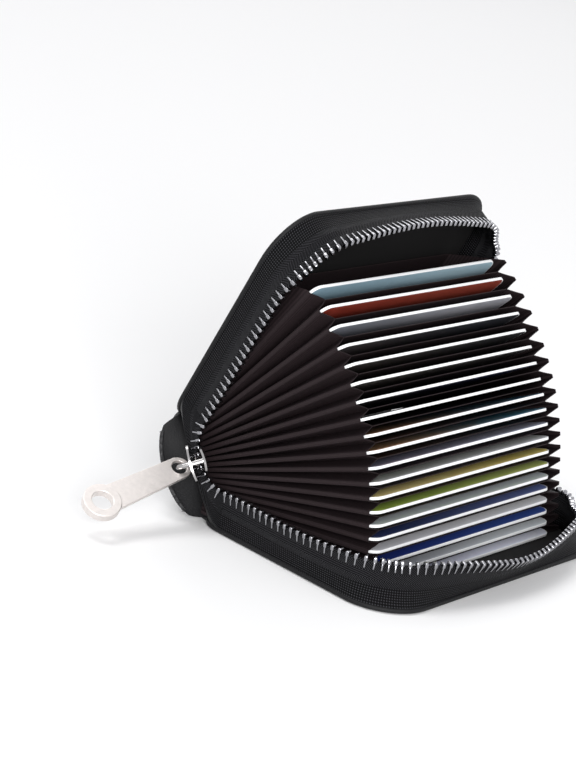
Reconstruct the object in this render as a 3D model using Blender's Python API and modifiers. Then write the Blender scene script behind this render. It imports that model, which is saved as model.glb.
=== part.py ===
"""A zip-around accordion card wallet that lies open on its back cover, in metres, +Z up.

X runs from the spine to the opening, Y along the spine, and the origin is the centre of the
back cover's outer face. The two covers fold on the long edges of the spine. The pocket leaves
and the cards fan about one fan axis behind the spine, which is where one single turn would
carry the front cover from closed to its rest position. Every piece is built closed, in a
frame whose origin lies on the axis it turns on, and then turned to the rest position.
"""

import math

import bmesh
import bpy
from mathutils import Matrix, Vector

# Cards, the ID-1 size, and the pockets that hold one each
CARD_COUNT = 20
CARD_LENGTH = 0.0856
CARD_WIDTH = 0.054
CARD_THICKNESS = 0.00076
CARD_CORNER = 0.00318
CARD_SLIP = 0.0001
CARD_END_SHIFT = 0.0020
CARD_INNER = 0.0073
OUTER_CARD_EXTRA = 0.0042
DIVIDER_THICKNESS = 0.00014

# Covers
COVER_LENGTH_ALLOWANCE = 0.0184
COVER_DEPTH_ALLOWANCE = 0.0185
COVER_CORNER = 0.015
SPINE_SIDE_CORNER = 0.002
LEATHER = 0.0010
BOARD = 0.0008
LINING = 0.0003
SLIDER_ROOM = 0.0013
LAYER_GAP = 0.0001
LEAF_GAP = 0.00013
FRONT_PLAY = 0.0013
ROLLED_EDGE = 0.0007
RIM_WIDTH = 0.0030
FOLD_GAP = 0.0003

# Opening angles between the covers, in degrees
REST_OPENING = 67.0
TOP_CARD_ANGLE = 55.7
FAN_EVEN_SHARE = 0.6
FAN_EXPONENT = 2.2

# Pocket leaves and the pleated gussets at both ends
LEAF_INNER = 0.0065
LEAF_FRONT_SETBACK = 0.0043
LEAF_END_SETBACK = 0.0023
GUSSET_INNER = 0.020
GUSSET_THICKNESS = 0.0002
RIDGE_CLEARANCE = 0.0006
RIDGE_HALF_WIDTH = 0.00052
VALLEY_CLEARANCE = 0.0005

# Zip
EDGE_REVEAL = 0.0012
TAPE_THICKNESS = 0.0008
TOOTH_PITCH = 0.0023
TOOTH_LENGTH = 0.0012
TOOTH_WIDTH = 0.0024
TOOTH_HEIGHT = 0.0010
BEAD_HEIGHT = 0.0010
TEETH_GAP = 0.0015
ZIP_START = 0.0102
PANEL_GAP = 0.0004
PANEL_LIP = 0.001

# Slider, its bail, and the bottom stop and tape tail in its channel
SLIDER_REACH = 0.0082
SLIDER_TWIST = 52.0
SLIDER_LENGTH = 0.010
SLIDER_WIDTH = 0.0096
PLATE_THICKNESS = 0.0010
CHANNEL_HEIGHT = 0.0033
FLANGE_WIDTH = 0.0009
FLANGE_DEPTH = 0.00075
POST_LENGTH = 0.0018
POST_WIDTH = 0.0010
POST_SETBACK = 0.0008
STOP_THICKNESS = 0.0019
STOP_LENGTH = 0.005
TAIL_LENGTH = 0.0026
TAIL_WIDTH = 0.0088
TAIL_GAP = 0.00025
BAIL_RADIUS = 0.0006
BAIL_SPAN = 0.0070
BAIL_CORNER = 0.0010
BAIL_GAP = 0.0001

# Pull tab
TAB_THICKNESS = 0.0012
TAB_EYE_RADIUS = 0.0023
TAB_RIM = 0.0018
TAB_PIVOT_HEIGHT = 0.0012
TAB_LENGTH_BETWEEN_EYES = 0.026
TAB_SWING = 36.6
RING_RADIUS = 0.0045
RING_HOLE_RADIUS = 0.0025
RING_THICKNESS = 0.0022
RING_EDGE_SHARE = 0.25
TAB_SHOULDER_HALF_WIDTH = 0.0034
TAB_SHOULDER_LENGTH = 0.0025

# Facets of a quarter turn and of a rounded edge, how far a joined shape reaches into its
# neighbour, and the distance under which two corners are one
CORNER_STEPS = 5
EYE_STEPS = 7
BAIL_CORNER_STEPS = 2
WIRE_STEPS = 2
EDGE_STEPS = 1
OVERRUN = 0.0002
WELD_DISTANCE = 1e-7

# Sizes worked out from those above
CARD_REACH = CARD_INNER + CARD_WIDTH
LEAF_OUTER = CARD_REACH - LEAF_FRONT_SETBACK
LEAF_HALF_LENGTH = CARD_LENGTH / 2 - LEAF_END_SETBACK
COVER_LENGTH = CARD_LENGTH + COVER_LENGTH_ALLOWANCE
COVER_DEPTH = CARD_WIDTH + COVER_DEPTH_ALLOWANCE
POCKET_PITCH = CARD_THICKNESS + DIVIDER_THICKNESS + 2 * CARD_SLIP
COVER_THICKNESS = LEATHER + BOARD + LINING + 2 * LAYER_GAP
ACCORDION_HEIGHT = CARD_COUNT * POCKET_PITCH + DIVIDER_THICKNESS
LINING_HEIGHT = (ACCORDION_HEIGHT + LEAF_GAP + FRONT_PLAY) / 2
BACK_LEAF_HEIGHT = -LINING_HEIGHT + LEAF_GAP + DIVIDER_THICKNESS / 2
HALF_THICKNESS = LINING_HEIGHT + COVER_THICKNESS
FAN_SETBACK = HALF_THICKNESS * math.tan(math.radians(REST_OPENING) / 4)
HALF_LENGTH = COVER_LENGTH / 2
COVER_START = FAN_SETBACK + LEATHER + FOLD_GAP
COVER_END = FAN_SETBACK + COVER_DEPTH
TAPE_INSET = EDGE_REVEAL + TAPE_THICKNESS / 2
ZIP_LINE = HALF_LENGTH - TAPE_INSET
SLIDER_HALF_DEPTH = CHANNEL_HEIGHT / 2 + PLATE_THICKNESS
PIVOT_OFFSET = SLIDER_HALF_DEPTH + TAB_PIVOT_HEIGHT
TAPE_FOOT = -LINING_HEIGHT + LAYER_GAP
TEETH_FOOT = -TEETH_GAP / 2 - TOOTH_HEIGHT - BEAD_HEIGHT
TAPE_TOP = TEETH_FOOT - LAYER_GAP

# The fold and fan axes at rest, in the object's own frame
SPINE_X = -COVER_DEPTH / 2
BACK_FOLD = Vector((SPINE_X, 0, 0))
FAN_AXIS = Vector((SPINE_X - FAN_SETBACK, 0, HALF_THICKNESS))
HALF_TURN = math.radians(REST_OPENING) / 2


def card_angle(number):
    """The turn of card 1 (top) to card 20 (bottom, flat on the back cover), in radians."""
    share = (CARD_COUNT - number) / (CARD_COUNT - 1)
    bent = FAN_EVEN_SHARE * share + (1 - FAN_EVEN_SHARE) * share**FAN_EXPONENT
    return math.radians(TOP_CARD_ANGLE) * bent


def leaf_angle(number):
    """The turn of the leaf below a card. Leaf 0 lies on the front cover, leaf 20 on the back."""
    if number == 0:
        return 2 * HALF_TURN
    if number == CARD_COUNT:
        return 0.0
    return (card_angle(number) + card_angle(number + 1)) / 2


def card_height(number):
    return BACK_LEAF_HEIGHT + (CARD_COUNT - number + 0.5) * POCKET_PITCH


def leaf_height(number):
    return BACK_LEAF_HEIGHT + (CARD_COUNT - number) * POCKET_PITCH


def card_reach(number):
    """How far a card's outer edge lies from the fan axis: the outermost cards stand out."""
    share = abs(2 * (number - 1) / (CARD_COUNT - 1) - 1)
    return CARD_REACH + OUTER_CARD_EXTRA * share**3


def clear_scene():
    for thing in list(bpy.data.objects):
        bpy.data.objects.remove(thing, do_unlink=True)


def make_collection(name):
    collection = bpy.data.collections.new(name)
    bpy.context.scene.collection.children.link(collection)
    return collection


def make_material(name, color, roughness, metallic=0.0):
    material = bpy.data.materials.new(name)
    material.use_nodes = True
    shader = material.node_tree.nodes["Principled BSDF"]
    shader.inputs["Base Color"].default_value = (*color, 1)
    shader.inputs["Roughness"].default_value = roughness
    shader.inputs["Metallic"].default_value = metallic
    material.diffuse_color = (*color, 1)
    return material


def arc(centre_x, centre_y, radius, start, end, steps):
    """Points along an arc, angles in degrees, both ends included."""
    points = []
    for step in range(steps + 1):
        angle = math.radians(start + (end - start) * step / steps)
        points.append((centre_x + radius * math.cos(angle), centre_y + radius * math.sin(angle)))
    return points


def rounded_rectangle(low, high, low_x_radius, high_x_radius, steps=CORNER_STEPS):
    """A counterclockwise outline whose corners have one radius at low x and one at high x."""
    points = arc(low[0] + low_x_radius, low[1] + low_x_radius, low_x_radius, 180, 270, steps)
    points += arc(high[0] - high_x_radius, low[1] + high_x_radius, high_x_radius, 270, 360, steps)
    points += arc(high[0] - high_x_radius, high[1] - high_x_radius, high_x_radius, 0, 90, steps)
    points += arc(low[0] + low_x_radius, high[1] - low_x_radius, low_x_radius, 90, 180, steps)
    return points


def curve_plate(name, outlines, thickness, edge_radius=0.0):
    """A flat plate, centred on z = 0, from an outline and the outlines of its holes."""
    curve = bpy.data.curves.new(name, "CURVE")
    curve.dimensions = "2D"
    curve.fill_mode = "BOTH"
    curve.extrude = thickness / 2 - edge_radius
    curve.bevel_depth = edge_radius
    curve.bevel_resolution = EDGE_STEPS
    curve.offset = -edge_radius
    for outline in outlines:
        spline = curve.splines.new("POLY")
        spline.points.add(len(outline) - 1)
        for point, (x, y) in zip(spline.points, outline):
            point.co = (x, y, 0, 1)
        spline.use_cyclic_u = True
    return bpy.data.objects.new(name, curve)


def as_mesh(piece, collection):
    """The piece's evaluated shape as a mesh with its loose caps welded; the curve is removed."""
    if piece.name not in collection.objects:
        collection.objects.link(piece)
    bpy.context.view_layer.update()
    evaluated = piece.evaluated_get(bpy.context.evaluated_depsgraph_get())
    mesh = bpy.data.meshes.new_from_object(evaluated)
    shape = bmesh.new()
    shape.from_mesh(mesh)
    bmesh.ops.remove_doubles(shape, verts=shape.verts, dist=WELD_DISTANCE)
    bmesh.ops.recalc_face_normals(shape, faces=shape.faces)
    shape.to_mesh(mesh)
    shape.free()
    name = piece.name
    matrix = piece.matrix_world.copy()
    bpy.data.objects.remove(piece, do_unlink=True)
    solid = bpy.data.objects.new(name, mesh)
    solid.matrix_world = matrix
    collection.objects.link(solid)
    return solid


def box_mesh(low, high):
    """A box between two corners, as a new bmesh."""
    shape = bmesh.new()
    size = Vector(high) - Vector(low)
    middle = (Vector(high) + Vector(low)) / 2
    matrix = Matrix.Translation(middle) @ Matrix.Diagonal((*size, 1))
    bmesh.ops.create_cube(shape, size=1, matrix=matrix)
    return shape


def mesh_object(name, shape):
    mesh = bpy.data.meshes.new(name)
    shape.to_mesh(mesh)
    shape.free()
    return bpy.data.objects.new(name, mesh)


def turn_about_y(angle):
    """The turn that lifts +X towards +Z, the way the wallet opens."""
    return Matrix.Rotation(-angle, 4, "Y")


def fan_matrix(angle):
    return Matrix.Translation(FAN_AXIS) @ turn_about_y(angle)


def spine_matrix():
    """From the closed frame, whose origin is the fan axis, to the tilted spine."""
    fold_in_frame = Vector((FAN_SETBACK, 0, -HALF_THICKNESS))
    return Matrix.Translation(BACK_FOLD) @ turn_about_y(HALF_TURN) @ Matrix.Translation(-fold_in_frame)


def slider_matrix():
    """The slider's frame: x along its channel, y across the two rows, z out of its top plate."""
    out_of_end = Matrix.Rotation(math.radians(90), 4, "X")
    twist = Matrix.Rotation(math.radians(-SLIDER_TWIST), 4, "Y")
    seat = Matrix.Translation((SLIDER_REACH, -ZIP_LINE, 0))
    return fan_matrix(HALF_TURN) @ seat @ out_of_end @ twist


class Wallet:
    """The collections, materials and pivots that every piece goes into."""

    def __init__(self):
        self.parts = make_collection("card_wallet")
        self.cutters = make_collection("cutters")
        self.leather = make_material("leather", (0.018, 0.018, 0.020), 0.5)
        self.board = make_material("board", (0.20, 0.19, 0.18), 0.9)
        self.lining = make_material("lining", (0.012, 0.011, 0.011), 0.8)
        self.leaf = make_material("leaf", (0.035, 0.026, 0.027), 0.85)
        self.tape = make_material("tape", (0.014, 0.014, 0.016), 0.8)
        self.teeth = make_material("teeth", (0.22, 0.22, 0.24), 0.3, 1.0)
        self.gunmetal = make_material("gunmetal", (0.30, 0.29, 0.29), 0.25, 1.0)
        self.nickel = make_material("nickel", (0.72, 0.69, 0.67), 0.3, 1.0)
        self.card = make_material("card", (0.85, 0.86, 0.88), 0.4)
        self.fan = self.pivot("fan_axis", FAN_AXIS)
        self.back_fold = self.pivot("back_fold", BACK_FOLD)
        tip = spine_matrix() @ Vector((FAN_SETBACK, 0, HALF_THICKNESS))
        self.front_fold = self.pivot("front_fold", tip)

    def pivot(self, name, place):
        empty = bpy.data.objects.new(name, None)
        empty.location = place
        self.parts.objects.link(empty)
        return empty

    def place(self, piece, matrix, material, pivot):
        """Puts a finished piece at its rest position and hangs it on its pivot."""
        if piece.name not in self.parts.objects:
            self.parts.objects.link(piece)
        piece.data.materials.clear()
        piece.data.materials.append(material)
        bpy.context.view_layer.update()
        piece.parent = pivot
        piece.matrix_parent_inverse = pivot.matrix_world.inverted()
        piece.matrix_world = matrix
        return piece

    def combine(self, target, other, matrix, operation):
        """Cuts or joins a placed piece with a mesh, which stays hidden among the cutters."""
        if other.name not in self.cutters.objects:
            self.cutters.objects.link(other)
        other.parent = target.parent
        other.matrix_parent_inverse = target.matrix_parent_inverse
        other.matrix_world = matrix
        other.hide_render = True
        other.display_type = "WIRE"
        modifier = target.modifiers.new(operation.lower(), "BOOLEAN")
        modifier.operation = operation
        modifier.object = other
        modifier.solver = "EXACT"


def cover_outline(inset):
    low = (COVER_START + inset, -HALF_LENGTH + inset)
    high = (COVER_END - inset, HALF_LENGTH - inset)
    spine_radius = max(SPINE_SIDE_CORNER - inset, LAYER_GAP)
    return rounded_rectangle(low, high, spine_radius, COVER_CORNER - inset)


def build_cover(wallet, side, matrix, pivot):
    """Leather tray, board and lining of one cover, built as the back cover in the closed frame."""
    outer = -HALF_THICKNESS
    tray = curve_plate(f"{side}_leather", [cover_outline(0)], COVER_THICKNESS, ROLLED_EDGE)
    tray = as_mesh(tray, wallet.parts)
    middle = matrix @ Matrix.Translation((0, 0, outer + COVER_THICKNESS / 2))
    wallet.place(tray, middle, wallet.leather, pivot)
    well = curve_plate(f"{side}_well", [cover_outline(RIM_WIDTH)], COVER_THICKNESS)
    well = as_mesh(well, wallet.cutters)
    wallet.combine(tray, well, middle @ Matrix.Translation((0, 0, LEATHER)), "DIFFERENCE")

    fit = RIM_WIDTH + LAYER_GAP
    board = curve_plate(f"{side}_board", [cover_outline(fit)], BOARD)
    height = outer + LEATHER + LAYER_GAP + BOARD / 2
    wallet.place(board, matrix @ Matrix.Translation((0, 0, height)), wallet.board, pivot)
    lining = curve_plate(f"{side}_lining", [cover_outline(fit)], LINING)
    height += BOARD / 2 + LAYER_GAP + LINING / 2
    wallet.place(lining, matrix @ Matrix.Translation((0, 0, height)), wallet.lining, pivot)


def zip_path(inset):
    """The zip's way round near end, opening and far end, at an inset from the cover's edge."""
    radius = COVER_CORNER - inset
    start = FAN_SETBACK + ZIP_START
    side = HALF_LENGTH - inset
    end = COVER_END - inset
    points = [(start, -side)]
    points += arc(end - radius, -side + radius, radius, 270, 360, CORNER_STEPS)
    points += arc(end - radius, side - radius, radius, 0, 90, CORNER_STEPS)
    points.append((start, side))
    return points


def point_along(points, distance):
    """Place and heading at a distance along a path."""
    for first, second in zip(points, points[1:]):
        step = Vector(second) - Vector(first)
        if distance <= step.length:
            return Vector(first) + step.normalized() * distance, step.normalized()
        distance -= step.length
    return Vector(points[-1]), (Vector(points[-1]) - Vector(points[-2])).normalized()


def path_length(points):
    return sum((Vector(b) - Vector(a)).length for a, b in zip(points, points[1:]))


def build_zip_tape(wallet, side, matrix, pivot):
    """The tape wall that stands on a cover's rim and carries the teeth."""
    outline = zip_path(EDGE_REVEAL) + list(reversed(zip_path(EDGE_REVEAL + TAPE_THICKNESS)))
    tape = curve_plate(f"{side}_zip_tape", [outline], TAPE_TOP - TAPE_FOOT)
    middle = Matrix.Translation((0, 0, (TAPE_TOP + TAPE_FOOT) / 2))
    wallet.place(tape, matrix @ middle, wallet.tape, pivot)


def build_zip_teeth(wallet, side, matrix, pivot):
    """A bead along the tape's edge, with every other stretch of its top raised into a tooth."""
    path = zip_path(TAPE_INSET)
    count = int(path_length(path) / TOOTH_PITCH)
    gap = TOOTH_PITCH - TOOTH_LENGTH
    shape = bmesh.new()
    rows = []
    for index in range(count):
        for distance in (index * TOOTH_PITCH + gap, (index + 1) * TOOTH_PITCH):
            place, heading = point_along(path, distance)
            across = Vector((-heading.y, heading.x)) * (TOOTH_WIDTH / 2)
            rows.append([shape.verts.new((*(place + across * sign), TEETH_FOOT)) for sign in (-1, 1)])
    strip = [shape.faces.new((a[0], b[0], b[1], a[1])) for a, b in zip(rows, rows[1:])]
    raised = bmesh.ops.extrude_face_region(shape, geom=strip, use_keep_orig=True)
    top = [item for item in raised["geom"] if isinstance(item, bmesh.types.BMVert)]
    bmesh.ops.translate(shape, verts=top, vec=(0, 0, BEAD_HEIGHT))
    crowns = [item for item in raised["geom"] if isinstance(item, bmesh.types.BMFace)]
    crowns.sort(key=lambda face: min(strip_order(rows, face)))
    for face in crowns[::2]:
        lifted = bmesh.ops.extrude_discrete_faces(shape, faces=[face])["faces"]
        corners = list({vert for crown in lifted for vert in crown.verts})
        bmesh.ops.translate(shape, verts=corners, vec=(0, 0, TOOTH_HEIGHT))
    bmesh.ops.recalc_face_normals(shape, faces=shape.faces)
    teeth = mesh_object(f"{side}_zip_teeth", shape)
    wallet.place(teeth, matrix, wallet.teeth, pivot)


def strip_order(rows, face):
    """The places along the strip of a raised face's corners."""
    feet = {(round(v.co.x, 7), round(v.co.y, 7)): i for i, row in enumerate(rows) for v in row}
    return [feet[(round(v.co.x, 7), round(v.co.y, 7))] for v in face.verts]


def build_spine(wallet):
    """The leather strip of the spine, which tilts by half of the opening."""
    half_length = ZIP_LINE - SLIDER_HALF_DEPTH - SLIDER_ROOM
    half_width = HALF_THICKNESS - FOLD_GAP
    low = (FAN_SETBACK, -half_length, -half_width)
    high = (FAN_SETBACK + LEATHER, half_length, half_width)
    strip = mesh_object("spine_leather", box_mesh(low, high))
    wallet.place(strip, spine_matrix(), wallet.leather, wallet.back_fold)


def build_leaf(wallet, name, number):
    """A pocket leaf between two cards, or the end leaf against a cover."""
    height = leaf_height(number)
    half = DIVIDER_THICKNESS / 2
    low = (LEAF_INNER, -LEAF_HALF_LENGTH, height - half)
    high = (LEAF_OUTER, LEAF_HALF_LENGTH, height + half)
    leaf = mesh_object(name, box_mesh(low, high))
    wallet.place(leaf, fan_matrix(leaf_angle(number)), wallet.leaf, wallet.fan)


def build_card(wallet, number):
    reach = card_reach(number)
    low = (reach - CARD_WIDTH, -CARD_LENGTH / 2 - CARD_END_SHIFT)
    high = (reach, CARD_LENGTH / 2 - CARD_END_SHIFT)
    outline = rounded_rectangle(low, high, CARD_CORNER, CARD_CORNER)
    card = curve_plate(f"card_{number:02d}", [outline], CARD_THICKNESS)
    matrix = fan_matrix(card_angle(number)) @ Matrix.Translation((0, 0, card_height(number)))
    wallet.place(card, matrix, wallet.card, wallet.fan)


def fold_lines():
    """Angle, height and distance from the middle of each fold, front cover to back cover."""
    ridge = CARD_LENGTH / 2 + CARD_END_SHIFT + RIDGE_CLEARANCE
    valley = LEAF_HALF_LENGTH + VALLEY_CLEARANCE
    lines = [(leaf_angle(0), leaf_height(0), valley)]
    for number in range(1, CARD_COUNT + 1):
        for side in (RIDGE_HALF_WIDTH, -RIDGE_HALF_WIDTH):
            lines.append((card_angle(number), card_height(number) + side, ridge))
        lines.append((leaf_angle(number), leaf_height(number), valley))
    return lines


def build_gusset(wallet, name, side):
    """The pleated end wall: a fold out round each card's end and a fold in at each leaf."""
    shape = bmesh.new()
    folds = []
    for angle, height, distance in fold_lines():
        turn = turn_about_y(angle)
        ends = [turn @ Vector((reach, side * distance, height)) for reach in (GUSSET_INNER, LEAF_OUTER)]
        folds.append([shape.verts.new(end) for end in ends])
    for first, second in zip(folds, folds[1:]):
        shape.faces.new((first[0], first[1], second[1], second[0]))
    bmesh.ops.recalc_face_normals(shape, faces=shape.faces)
    gusset = mesh_object(name, shape)
    wall = gusset.modifiers.new("fabric", "SOLIDIFY")
    wall.thickness = GUSSET_THICKNESS
    wall.offset = 0
    wallet.place(gusset, Matrix.Translation(FAN_AXIS), wallet.leaf, wallet.fan)


def slider_plate(side):
    """One plate of the slider with the lips that close in on the tape, as a box for each."""
    half_length = SLIDER_LENGTH / 2
    half_width = SLIDER_WIDTH / 2
    inner = CHANNEL_HEIGHT / 2
    outer = inner + PLATE_THICKNESS
    boxes = [((-half_length, -half_width, inner), (half_length, half_width, outer))]
    for lip in (-1, 1):
        edges = sorted((lip * half_width, lip * (half_width - FLANGE_WIDTH)))
        boxes.append(
            ((-half_length, edges[0], inner - FLANGE_DEPTH), (half_length, edges[1], inner + OVERRUN))
        )
    flipped = []
    for low, high in boxes:
        heights = sorted((side * low[2], side * high[2]))
        flipped.append(((low[0], low[1], heights[0]), (high[0], high[1], heights[1])))
    return flipped


def bail_crown():
    """Height of the bail's bar over the channel, so that the tab's rim turns under it."""
    return PIVOT_OFFSET + math.hypot(TAB_RIM / 2, TAB_THICKNESS / 2) + OVERRUN + BAIL_RADIUS


def build_slider(wallet):
    """Two plates joined by the post at the nose, with the bail on the outer plate."""
    half_length = SLIDER_LENGTH / 2
    joint = CHANNEL_HEIGHT / 2 + OVERRUN
    post_end = half_length - POST_SETBACK
    post = (
        (post_end - POST_LENGTH, -POST_WIDTH / 2, -joint),
        (post_end, POST_WIDTH / 2, joint),
    )
    boxes = slider_plate(1) + slider_plate(-1) + [post]
    body = mesh_object("slider_body", box_mesh(*boxes[0]))
    wallet.place(body, slider_matrix(), wallet.gunmetal, wallet.fan)
    for index, (low, high) in enumerate(boxes[1:]):
        piece = mesh_object(f"slider_block_{index + 1}", box_mesh(low, high))
        wallet.combine(body, piece, slider_matrix(), "UNION")

    half_span = BAIL_SPAN / 2
    foot = SLIDER_HALF_DEPTH + BAIL_GAP
    crown = bail_crown()
    left = arc(-half_span + BAIL_CORNER, crown - BAIL_CORNER, BAIL_CORNER, 180, 90, BAIL_CORNER_STEPS)
    right = arc(half_span - BAIL_CORNER, crown - BAIL_CORNER, BAIL_CORNER, 90, 0, BAIL_CORNER_STEPS)
    route = [(-half_span, foot)] + left + right + [(half_span, foot)]
    curve = bpy.data.curves.new("slider_bail", "CURVE")
    curve.dimensions = "3D"
    curve.bevel_depth = BAIL_RADIUS
    curve.bevel_resolution = WIRE_STEPS
    curve.use_fill_caps = True
    spline = curve.splines.new("POLY")
    spline.points.add(len(route) - 1)
    for point, (x, z) in zip(spline.points, route):
        point.co = (x, 0, z, 1)
    bail = bpy.data.objects.new("slider_bail", curve)
    wallet.place(bail, slider_matrix(), wallet.gunmetal, wallet.fan)


def build_zip_start(wallet):
    """The bottom stop, round which the slider twists, and the tail of tape behind it."""
    half_stop = STOP_THICKNESS / 2
    low = (SLIDER_REACH - half_stop, -ZIP_LINE - half_stop, -STOP_LENGTH / 2)
    high = (SLIDER_REACH + half_stop, -ZIP_LINE + half_stop, STOP_LENGTH / 2)
    stop = mesh_object("zip_bottom_stop", box_mesh(low, high))
    wallet.place(stop, fan_matrix(HALF_TURN), wallet.gunmetal, wallet.fan)
    start = -math.hypot(half_stop, half_stop) - TAIL_GAP
    low = (start - TAIL_LENGTH, -TAIL_WIDTH / 2, -TAPE_THICKNESS / 2)
    high = (start, TAIL_WIDTH / 2, TAPE_THICKNESS / 2)
    tail = mesh_object("zip_tape_tail", box_mesh(low, high))
    wallet.place(tail, slider_matrix(), wallet.tape, wallet.fan)


def build_zip_end_panel(wallet):
    """The soft panel that joins both tape ends and is notched round the slider."""
    twist = math.radians(SLIDER_TWIST)
    depth = SLIDER_HALF_DEPTH / math.sin(twist) + TAPE_THICKNESS / 2 / math.tan(twist)
    notch_back = SLIDER_REACH - depth - PANEL_GAP
    notch_side = SLIDER_WIDTH / 2 + PANEL_GAP
    bail_reach = bail_crown() * math.sin(twist) + BAIL_SPAN / 2 * math.cos(twist)
    bail_back = SLIDER_REACH - bail_reach - BAIL_RADIUS - PANEL_GAP
    bail_side = BAIL_RADIUS + PANEL_GAP
    tape_end = FAN_SETBACK + ZIP_START - LAYER_GAP
    turn = turn_about_y(-HALF_TURN)
    outer = []
    for reach, height in ((COVER_START, TAPE_FOOT), (tape_end, TAPE_FOOT), (tape_end, TAPE_TOP)):
        corner = turn @ Vector((reach, 0, height))
        outer.append((corner.x, corner.z))
    spine_side = -FAN_SETBACK + LEATHER + PANEL_GAP
    half = [(spine_side, outer[0][1] + PANEL_GAP)] + outer
    half += [(SLIDER_REACH + PANEL_LIP, -notch_side), (notch_back, -notch_side)]
    half += [(notch_back, -bail_side), (bail_back, -bail_side)]
    outline = half + [(x, -y) for x, y in reversed(half)]
    panel = curve_plate("zip_end_panel", [outline], TAPE_THICKNESS)
    upright = Matrix.Rotation(math.radians(90), 4, "X")
    matrix = fan_matrix(HALF_TURN) @ Matrix.Translation((0, -ZIP_LINE, 0)) @ upright
    wallet.place(panel, matrix, wallet.tape, wallet.fan)


def build_pull_tab(wallet):
    """The flat tab: an eye round the bail at one end and a thick ring at the other."""
    eye = TAB_RIM / 2 + TAB_EYE_RADIUS
    ring = eye + TAB_LENGTH_BETWEEN_EYES
    end = ring - RING_HOLE_RADIUS - OVERRUN
    half_width = TAB_EYE_RADIUS + TAB_RIM
    outline = arc(eye, 0, half_width, 90, 270, 2 * EYE_STEPS)
    outline.append((end - TAB_SHOULDER_LENGTH, -half_width))
    outline.append((end, -TAB_SHOULDER_HALF_WIDTH))
    outline.append((end, TAB_SHOULDER_HALF_WIDTH))
    outline.append((end - TAB_SHOULDER_LENGTH, half_width))
    hole = arc(eye, 0, TAB_EYE_RADIUS, 0, 360, 4 * EYE_STEPS)[:-1]
    tab = as_mesh(curve_plate("pull_tab", [outline, hole], TAB_THICKNESS), wallet.parts)
    swing = Matrix.Rotation(-math.radians(90 - TAB_SWING), 4, "Y")
    matrix = slider_matrix() @ Matrix.Translation((0, 0, PIVOT_OFFSET)) @ swing
    wallet.place(tab, matrix, wallet.nickel, wallet.fan)

    rim = arc(ring, 0, RING_RADIUS, 0, 360, 4 * EYE_STEPS)[:-1]
    hole = arc(ring, 0, RING_HOLE_RADIUS, 0, 360, 4 * EYE_STEPS)[:-1]
    edge = RING_THICKNESS * RING_EDGE_SHARE
    collar = curve_plate("pull_tab_ring", [rim, hole], RING_THICKNESS, edge)
    wallet.combine(tab, as_mesh(collar, wallet.cutters), matrix, "UNION")


def main():
    clear_scene()
    wallet = Wallet()
    bpy.context.view_layer.update()
    back = fan_matrix(0)
    front = fan_matrix(2 * HALF_TURN) @ Matrix.Rotation(math.pi, 4, "X")
    for side, matrix, pivot in (
        ("back", back, wallet.back_fold),
        ("front", front, wallet.front_fold),
    ):
        build_cover(wallet, side, matrix, pivot)
        build_zip_tape(wallet, side, matrix, pivot)
        build_zip_teeth(wallet, side, matrix, pivot)
    build_spine(wallet)
    build_leaf(wallet, "front_end_leaf", 0)
    for number in range(1, CARD_COUNT):
        build_leaf(wallet, f"divider_{number:02d}", number)
    build_leaf(wallet, "back_end_leaf", CARD_COUNT)
    for number in range(1, CARD_COUNT + 1):
        build_card(wallet, number)
    build_gusset(wallet, "near_gusset", -1)
    build_gusset(wallet, "far_gusset", 1)
    build_slider(wallet)
    build_zip_start(wallet)
    build_zip_end_panel(wallet)
    build_pull_tab(wallet)


main()
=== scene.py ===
"""Looks of a zip-around accordion card wallet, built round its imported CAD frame.

The row frame has +Z up, X from the spine to the opening and Y along the spine. Most pieces are
built closed, in a frame whose origin is the fan axis and whose height is measured from the
plane between the two covers, and are then turned to the rest position.
"""

import logging
import math
import random
from contextlib import contextmanager
from dataclasses import dataclass, field
from enum import Enum
from typing import Callable, Iterator, Sequence

import bmesh
import bpy
from mathutils import Matrix, Vector


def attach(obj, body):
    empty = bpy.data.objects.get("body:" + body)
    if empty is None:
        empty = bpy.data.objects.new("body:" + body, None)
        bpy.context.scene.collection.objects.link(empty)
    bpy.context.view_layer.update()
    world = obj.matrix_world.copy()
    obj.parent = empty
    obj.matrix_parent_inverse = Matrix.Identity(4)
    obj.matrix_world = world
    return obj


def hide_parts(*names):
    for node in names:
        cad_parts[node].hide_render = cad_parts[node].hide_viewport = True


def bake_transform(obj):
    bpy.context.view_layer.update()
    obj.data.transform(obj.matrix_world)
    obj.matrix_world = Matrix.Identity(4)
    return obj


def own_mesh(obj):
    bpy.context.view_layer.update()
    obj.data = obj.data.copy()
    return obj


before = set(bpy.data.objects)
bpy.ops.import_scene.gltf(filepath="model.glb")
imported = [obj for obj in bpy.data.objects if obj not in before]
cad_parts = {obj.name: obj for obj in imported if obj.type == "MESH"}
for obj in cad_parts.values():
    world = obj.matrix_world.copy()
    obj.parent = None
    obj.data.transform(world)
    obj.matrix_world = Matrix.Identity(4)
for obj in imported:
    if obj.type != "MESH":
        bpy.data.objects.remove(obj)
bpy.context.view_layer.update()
LOG = logging.getLogger("wallet")
Point = tuple[float, float, float]
Colour = tuple[float, float, float]
TINY = 1e-6


# Sizes and places.


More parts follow.
